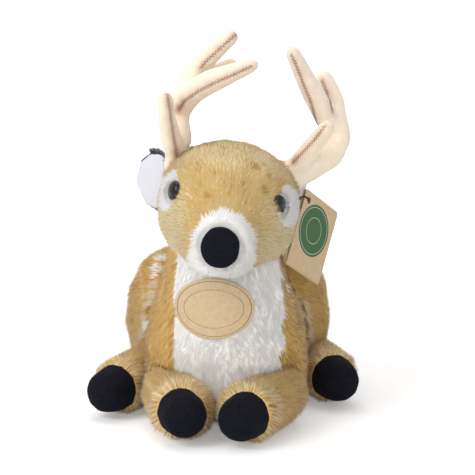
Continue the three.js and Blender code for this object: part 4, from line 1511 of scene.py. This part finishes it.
def make_badge():
    """Oval card, bent round the chest like a strip of a tube."""
    middle, half = badge_span()
    points = places(NODES["chest_badge"].data)
    front = points[points[:, 1] < points[:, 1].mean()]
    off_x, off_z = (front[:, [0, 2]] - middle).T
    terms = np.column_stack([np.ones(len(front)), off_x, off_z, off_x**2])
    fit = np.linalg.lstsq(terms, front[:, 1], rcond=None)[0]
    rings, around = 16, 96
    inner = [r / rings for r in range(1, rings)]
    rows = [(share, 0) for share in inner] + [(0.985, 0), (1.0, 0.25), (1.0, 0.75), (0.985, 1)]
    rows += [(share, 1) for share in reversed(inner)]
    shape = bmesh.new()
    layer = shape.loops.layers.uv.new("print")
    marks = {}

    def vertex(share, j, back):
        angle = 2 * math.pi * j / around
        u, v = share * math.cos(angle), share * math.sin(angle)
        x, z = half[0] * u, half[1] * v
        y = fit @ [1, x, z, x * x] + back * BADGE_THICK
        made = shape.verts.new((middle[0] + x, y, middle[1] + z))
        marks[made] = (u, v)
        return made

    grid = [[vertex(share, j, back) for j in range(around)] for share, back in rows]
    centre, rear = vertex(0, 0, 0), vertex(0, 0, 1)
    for j in range(around):
        k = (j + 1) % around
        for low_row, high_row in zip(grid, grid[1:]):
            shape.faces.new([low_row[j], high_row[j], high_row[k], low_row[k]])
        shape.faces.new([centre, grid[0][j], grid[0][k]])
        shape.faces.new([rear, grid[-1][k], grid[-1][j]])
    for face in shape.faces:
        for loop in face.loops:
            loop[layer].uv = marks[loop.vert]
    bmesh.ops.recalc_face_normals(shape, faces=shape.faces)
    mesh = mesh_from("badge_card", shape)
    mesh.shade_smooth()
    piece = link("badge_card", mesh, [card("Badge card", BADGE_RINGS)])
    dress(piece, "torso", ["chest_badge"])


def tag_frame():
    """The card's own axes, and a move to its hanging corner from the hole that it swings on."""
    facing = np.array([math.sin(TAG_TURN), -math.cos(TAG_TURN), 0])
    level = np.array([math.cos(TAG_TURN), math.sin(TAG_TURN), 0])
    upward = level * math.sin(TAG_LEAN) + UP * math.cos(TAG_LEAN)
    across = level * math.cos(TAG_LEAN) - UP * math.sin(TAG_LEAN)
    hole = np.array(JOINTS["tag_swing"]["pos_m"])
    corner = hole - across * TAG["inset"] + upward * TAG["inset"]
    axes = Matrix(np.column_stack([across, upward, facing]).tolist()).to_4x4()
    return Matrix.Translation(Vector(corner)) @ axes


def leaf(name, material):
    """One leaf of the folded card, with an eyelet hole, lying in XY below the origin."""
    outline = bpy.data.curves.new(name, "CURVE")
    outline.dimensions = "2D"
    outline.fill_mode = "BOTH"
    outline.extrude = TAG["leaf"] / 2 - TAG["bevel"]
    outline.bevel_depth = TAG["bevel"]
    corner, inset, hole = TAG["corner"], TAG["inset"], TAG["hole"]
    right, down = TAG["width"], -TAG["height"]
    edge = [(0.0, 0.0), (right - corner, 0.0)]
    for i in range(1, 9):
        angle = math.pi / 2 * (1 - i / 8)
        edge.append((right - corner + corner * math.cos(angle), -corner + corner * math.sin(angle)))
    edge += [(right, down), (0.0, down)]
    turns = [2 * math.pi * i / 24 for i in range(24)]
    eyelet = [(inset + hole * math.cos(a), -inset - hole * math.sin(a)) for a in turns]
    for ring in (edge, eyelet):
        spline = outline.splines.new("POLY")
        spline.points.add(len(ring) - 1)
        for place, (x, y) in zip(spline.points, ring):
            place.co = (x, y, 0, 1)
        spline.use_cyclic_u = True
    piece = link(name, outline)
    mesh = applied(piece)
    bpy.data.objects.remove(piece)
    mesh.name = name
    mesh.materials.clear()
    layer = mesh.uv_layers.new(name="print").data
    for loop in mesh.loops:
        x, y, _ = mesh.vertices[loop.vertex_index].co
        u = (x - TAG_PRINT["across"]) / TAG_PRINT["half_width"]
        v = (y + TAG_PRINT["down"]) / TAG_PRINT["half_height"]
        layer[loop.index].uv = (u, v)
    return link(name, mesh, [material])


def make_tag():
    hang = tag_frame()
    hinge = Matrix.Translation((0, -TAG["height"], 0))
    opening = hinge @ Matrix.Rotation(TAG_OPENING, 4, "X") @ hinge.inverted()
    front_print = [
        ((1, 1), 0, True, dyes().print_green, 0.92),
        ((0.9, 0.9), 0.013, False, TAG_PALE, 0.8),
        ((0.5, 0.5), 0.02, False, TAG_PALE, 0.8),
    ]
    plain = card("Tag rear card", [])
    leaves = [
        ("hang_tag_front", 0.0, card("Tag card", front_print), opening),
        ("hang_tag_rear", -TAG["leaf"] - TAG["gap"], plain, Matrix.Identity(4)),
    ]
    for name, depth, material, fold in leaves:
        piece = leaf(name, material)
        piece.data.transform(hang @ Matrix.Translation((0, 0, depth + TAG["leaf"] / 2)) @ fold)
        dress(piece, "tag", ["hang_tag"])
    dress(fold_strip(hang, plain), "tag")


def fold_strip(hang, material):
    """Rounded fold that joins the two leaves along their lower edge."""
    radius = (2 * TAG["leaf"] + TAG["gap"]) / 2
    middle = -TAG["leaf"] - TAG["gap"] / 2 + TAG["leaf"] / 2
    angles = [math.pi * i / 12 for i in range(13)]
    outer = [(-radius * math.sin(a), middle + radius * math.cos(a)) for a in angles]
    inner = [(y * 0.45, middle + (z - middle) * 0.45) for y, z in reversed(outer)]
    shape = bmesh.new()
    ends = []
    for x in (0.0, TAG["width"]):
        ends.append([shape.verts.new((x, -TAG["height"] + y, z)) for y, z in outer + inner])
    for j in range(len(ends[0])):
        k = (j + 1) % len(ends[0])
        shape.faces.new([ends[0][j], ends[0][k], ends[1][k], ends[1][j]])
    shape.faces.new(ends[0][::-1])
    shape.faces.new(ends[1])
    bmesh.ops.recalc_face_normals(shape, faces=shape.faces)
    mesh = mesh_from("hang_tag_fold", shape)
    mesh.transform(hang)
    for entry in mesh.uv_layers.new(name="print").data:
        entry.uv = NO_PRINT
    return link("hang_tag_fold", mesh, [material])


def finish_cad_nodes():
    """The thread and the eyes' washers keep their CAD shapes."""
    thread, tree, shader = blank("Dark twisted thread")
    twist = {"Vector": object_place(tree), "Scale": 500.0}
    height = add(tree, "ShaderNodeTexWave", twist, bands_direction="DIAGONAL").outputs["Fac"]
    feed(tree, shader, {
        "Base Color": (0.03, 0.022, 0.016, 1),
        "Roughness": 0.8,
        "Normal": bump(tree, height, 1.0, 0.2 * MM),
    })
    washer, tree, shader = blank("Natural nylon")
    feed(tree, shader, {
        "Base Color": (0.8, 0.8, 0.76, 1),
        "Roughness": ranged(tree, cloud(tree, 900.0), 0.35, 0.55),
    })
    shown = {"tag_loop": thread, "eye_washer_right": washer, "eye_washer_left": washer}
    for name, entry in shown.items():
        mesh = NODES[name].data
        mesh.materials.clear()
        mesh.materials.append(entry)


# Stage

SENSOR = 36  # millimetres
FLOOR_REACH = 6.0
FLOOR_Z = -0.15 * MM
LAMP_AIM = Vector((0, 0, 0.09))
# Each lamp's power, place and size
LAMPS = {
    "Key": (6.0, (-0.66, -0.66, 0.75), 0.6),
    "Front": (2.0, (0.15, -1.0, 0.45), 0.8),
    "Fill": (1.3, (0.8, -0.6, 0.5), 0.9),
    "Top": (3.7, (-0.1, 0.2, 1.0), 0.8),
}


def seen_by(tree):
    """1 for the camera and for what mirrors or glass show."""
    path = add(tree, "ShaderNodeLightPath").outputs
    first = calc(tree, "MAXIMUM", path["Is Camera Ray"], path["Is Glossy Ray"])
    return calc(tree, "MAXIMUM", first, path["Is Transmission Ray"])


def make_floor():
    """A pale floor that glows white far from the stag, where only the camera sees it."""
    mesh = bpy.data.meshes.new("floor")
    corners = [(-1, -1), (1, -1), (1, 1), (-1, 1)]
    points = [(x * FLOOR_REACH, y * FLOOR_REACH, FLOOR_Z) for x, y in corners]
    mesh.from_pydata(points, [], [(0, 1, 2, 3)])
    entry, tree, shader = blank("White floor")
    off = add(tree, "ShaderNodeVectorMath", {0: object_place(tree)}, operation="LENGTH")
    away = off.outputs["Value"]
    rise = ranged(tree, away, 0.24, 1.0, 0.2, 1.2, interpolation_type="SMOOTHSTEP")
    feed(tree, shader, {
        "Base Color": (0.9, 0.9, 0.9, 1),
        "Roughness": 0.9,
        "Specular IOR Level": 0.1,
        "Emission Color": (1, 1, 1, 1),
        "Emission Strength": calc(tree, "MULTIPLY", seen_by(tree), rise),
    })
    link("floor", mesh, [entry])


def make_stage():
    scene = bpy.context.scene
    scene.view_settings.view_transform = "Standard"
    stage = scene.stag_stage
    data = bpy.data.cameras.new("Camera")
    data.sensor_width = SENSOR
    data.lens = SENSOR * stage.distance / stage.view_width
    data.clip_start = 0.05
    scene.camera = link("Camera", data)
    place, turn = camera_stand()
    scene.camera.matrix_world = Matrix.Translation(place) @ turn.to_4x4()

    world = bpy.data.worlds.new("Pale studio")
    scene.world = world
    world.use_nodes = True
    tree = world.node_tree
    level = ranged(tree, seen_by(tree), 0.5, 1.0)
    feed(tree, tree.nodes["Background"], {"Color": (1, 1, 1, 1), "Strength": level})
    make_floor()

    for name, (energy, place, size) in LAMPS.items():
        data = bpy.data.lights.new(name, "AREA")
        data.energy = energy
        data.size = size
        item = link(name, data)
        item.location = place
        item.rotation_euler = (LAMP_AIM - Vector(place)).to_track_quat("-Z", "Y").to_euler()


# Operators and panel


class STAG_OT_stage(Operator):
    """Camera, floor and soft lamps"""

    bl_idname = "stag.stage"
    bl_label = "Stage"

    def execute(self, context):
        make_stage()
        return {"FINISHED"}


class STAG_OT_torso(Operator):
    """Body form, its pile and the neck filling"""

    bl_idname = "stag.torso"
    bl_label = "Torso"

    def execute(self, context):
        make_torso()
        return {"FINISHED"}


class STAG_OT_haunches(Operator):
    """Both haunches and their pile"""

    bl_idname = "stag.haunches"
    bl_label = "Haunches"

    def execute(self, context):
        make_haunches()
        return {"FINISHED"}


class STAG_OT_legs(Operator):
    """Four short legs and their pile"""

    bl_idname = "stag.legs"
    bl_label = "Legs"

    def execute(self, context):
        make_legs()
        return {"FINISHED"}


class STAG_OT_hooves(Operator):
    """Four felt hooves"""

    bl_idname = "stag.hooves"
    bl_label = "Hooves"

    def execute(self, context):
        make_hooves()
        return {"FINISHED"}


class STAG_OT_tail(Operator):
    """Tail with a white underside"""

    bl_idname = "stag.tail"
    bl_label = "Tail"

    def execute(self, context):
        make_tail()
        return {"FINISHED"}


class STAG_OT_head(Operator):
    """Head form and its pile"""

    bl_idname = "stag.head"
    bl_label = "Head"

    def execute(self, context):
        make_head()
        return {"FINISHED"}


class STAG_OT_fringe(Operator):
    """Longer hair at the eyes and the antlers' roots"""

    bl_idname = "stag.fringe"
    bl_label = "Fringe"

    def execute(self, context):
        make_fringe()
        return {"FINISHED"}


class STAG_OT_nose(Operator):
    """Felt nose"""

    bl_idname = "stag.nose"
    bl_label = "Nose"

    def execute(self, context):
        make_nose()
        return {"FINISHED"}


class STAG_OT_eyes(Operator):
    """Polished eyes"""

    bl_idname = "stag.eyes"
    bl_label = "Eyes"

    def execute(self, context):
        make_eyes()
        return {"FINISHED"}


class STAG_OT_ears(Operator):
    """Ears with satin linings"""

    bl_idname = "stag.ears"
    bl_label = "Ears"

    def execute(self, context):
        make_ears()
        return {"FINISHED"}


class STAG_OT_antlers(Operator):
    """Velour antlers with stitched seams"""

    bl_idname = "stag.antlers"
    bl_label = "Antlers"

    def execute(self, context):
        make_antlers()
        return {"FINISHED"}


class STAG_OT_badge(Operator):
    """Oval card badge"""

    bl_idname = "stag.badge"
    bl_label = "Badge"

    def execute(self, context):
        make_badge()
        return {"FINISHED"}


class STAG_OT_tag(Operator):
    """Folded card tag"""

    bl_idname = "stag.tag"
    bl_label = "Hang tag"

    def execute(self, context):
        make_tag()
        return {"FINISHED"}


class STAG_OT_thread(Operator):
    """Finish of the thread and washers"""

    bl_idname = "stag.thread"
    bl_label = "Thread"

    def execute(self, context):
        finish_cad_nodes()
        return {"FINISHED"}


STEPS = [
    STAG_OT_stage, STAG_OT_torso, STAG_OT_haunches, STAG_OT_legs, STAG_OT_hooves, STAG_OT_tail,
    STAG_OT_head, STAG_OT_fringe, STAG_OT_nose, STAG_OT_eyes, STAG_OT_ears, STAG_OT_antlers,
    STAG_OT_badge, STAG_OT_tag, STAG_OT_thread,
]


class STAG_PT_panel(Panel):
    """Steps that dress the stag, in order."""

    bl_label = "Plush Stag"
    bl_idname = "STAG_PT_panel"
    bl_space_type = "VIEW_3D"
    bl_region_type = "UI"
    bl_category = "Stag"

    def draw(self, context):
        for entry in STEPS:
            self.layout.operator(entry.bl_idname)
        for group in (context.scene.stag_pile, context.scene.stag_colours, context.scene.stag_stage):
            box = self.layout.box()
            for name in group.__annotations__:
                box.prop(group, name)


GROUPS = {"stag_pile": PileSizes, "stag_colours": ClothColours, "stag_stage": StageSizes}


def register():
    for name, group in GROUPS.items():
        bpy.utils.register_class(group)
        setattr(bpy.types.Scene, name, PointerProperty(type=group))
    for entry in STEPS:
        bpy.utils.register_class(entry)
    bpy.utils.register_class(STAG_PT_panel)


def unregister():
    bpy.utils.unregister_class(STAG_PT_panel)
    for entry in reversed(STEPS):
        bpy.utils.unregister_class(entry)
    for name, group in GROUPS.items():
        delattr(bpy.types.Scene, name)
        bpy.utils.unregister_class(group)


def main():
    register()
    for entry in STEPS:
        getattr(bpy.ops.stag, entry.bl_idname.split(".")[1])()


if __name__ == "__main__":
    main()
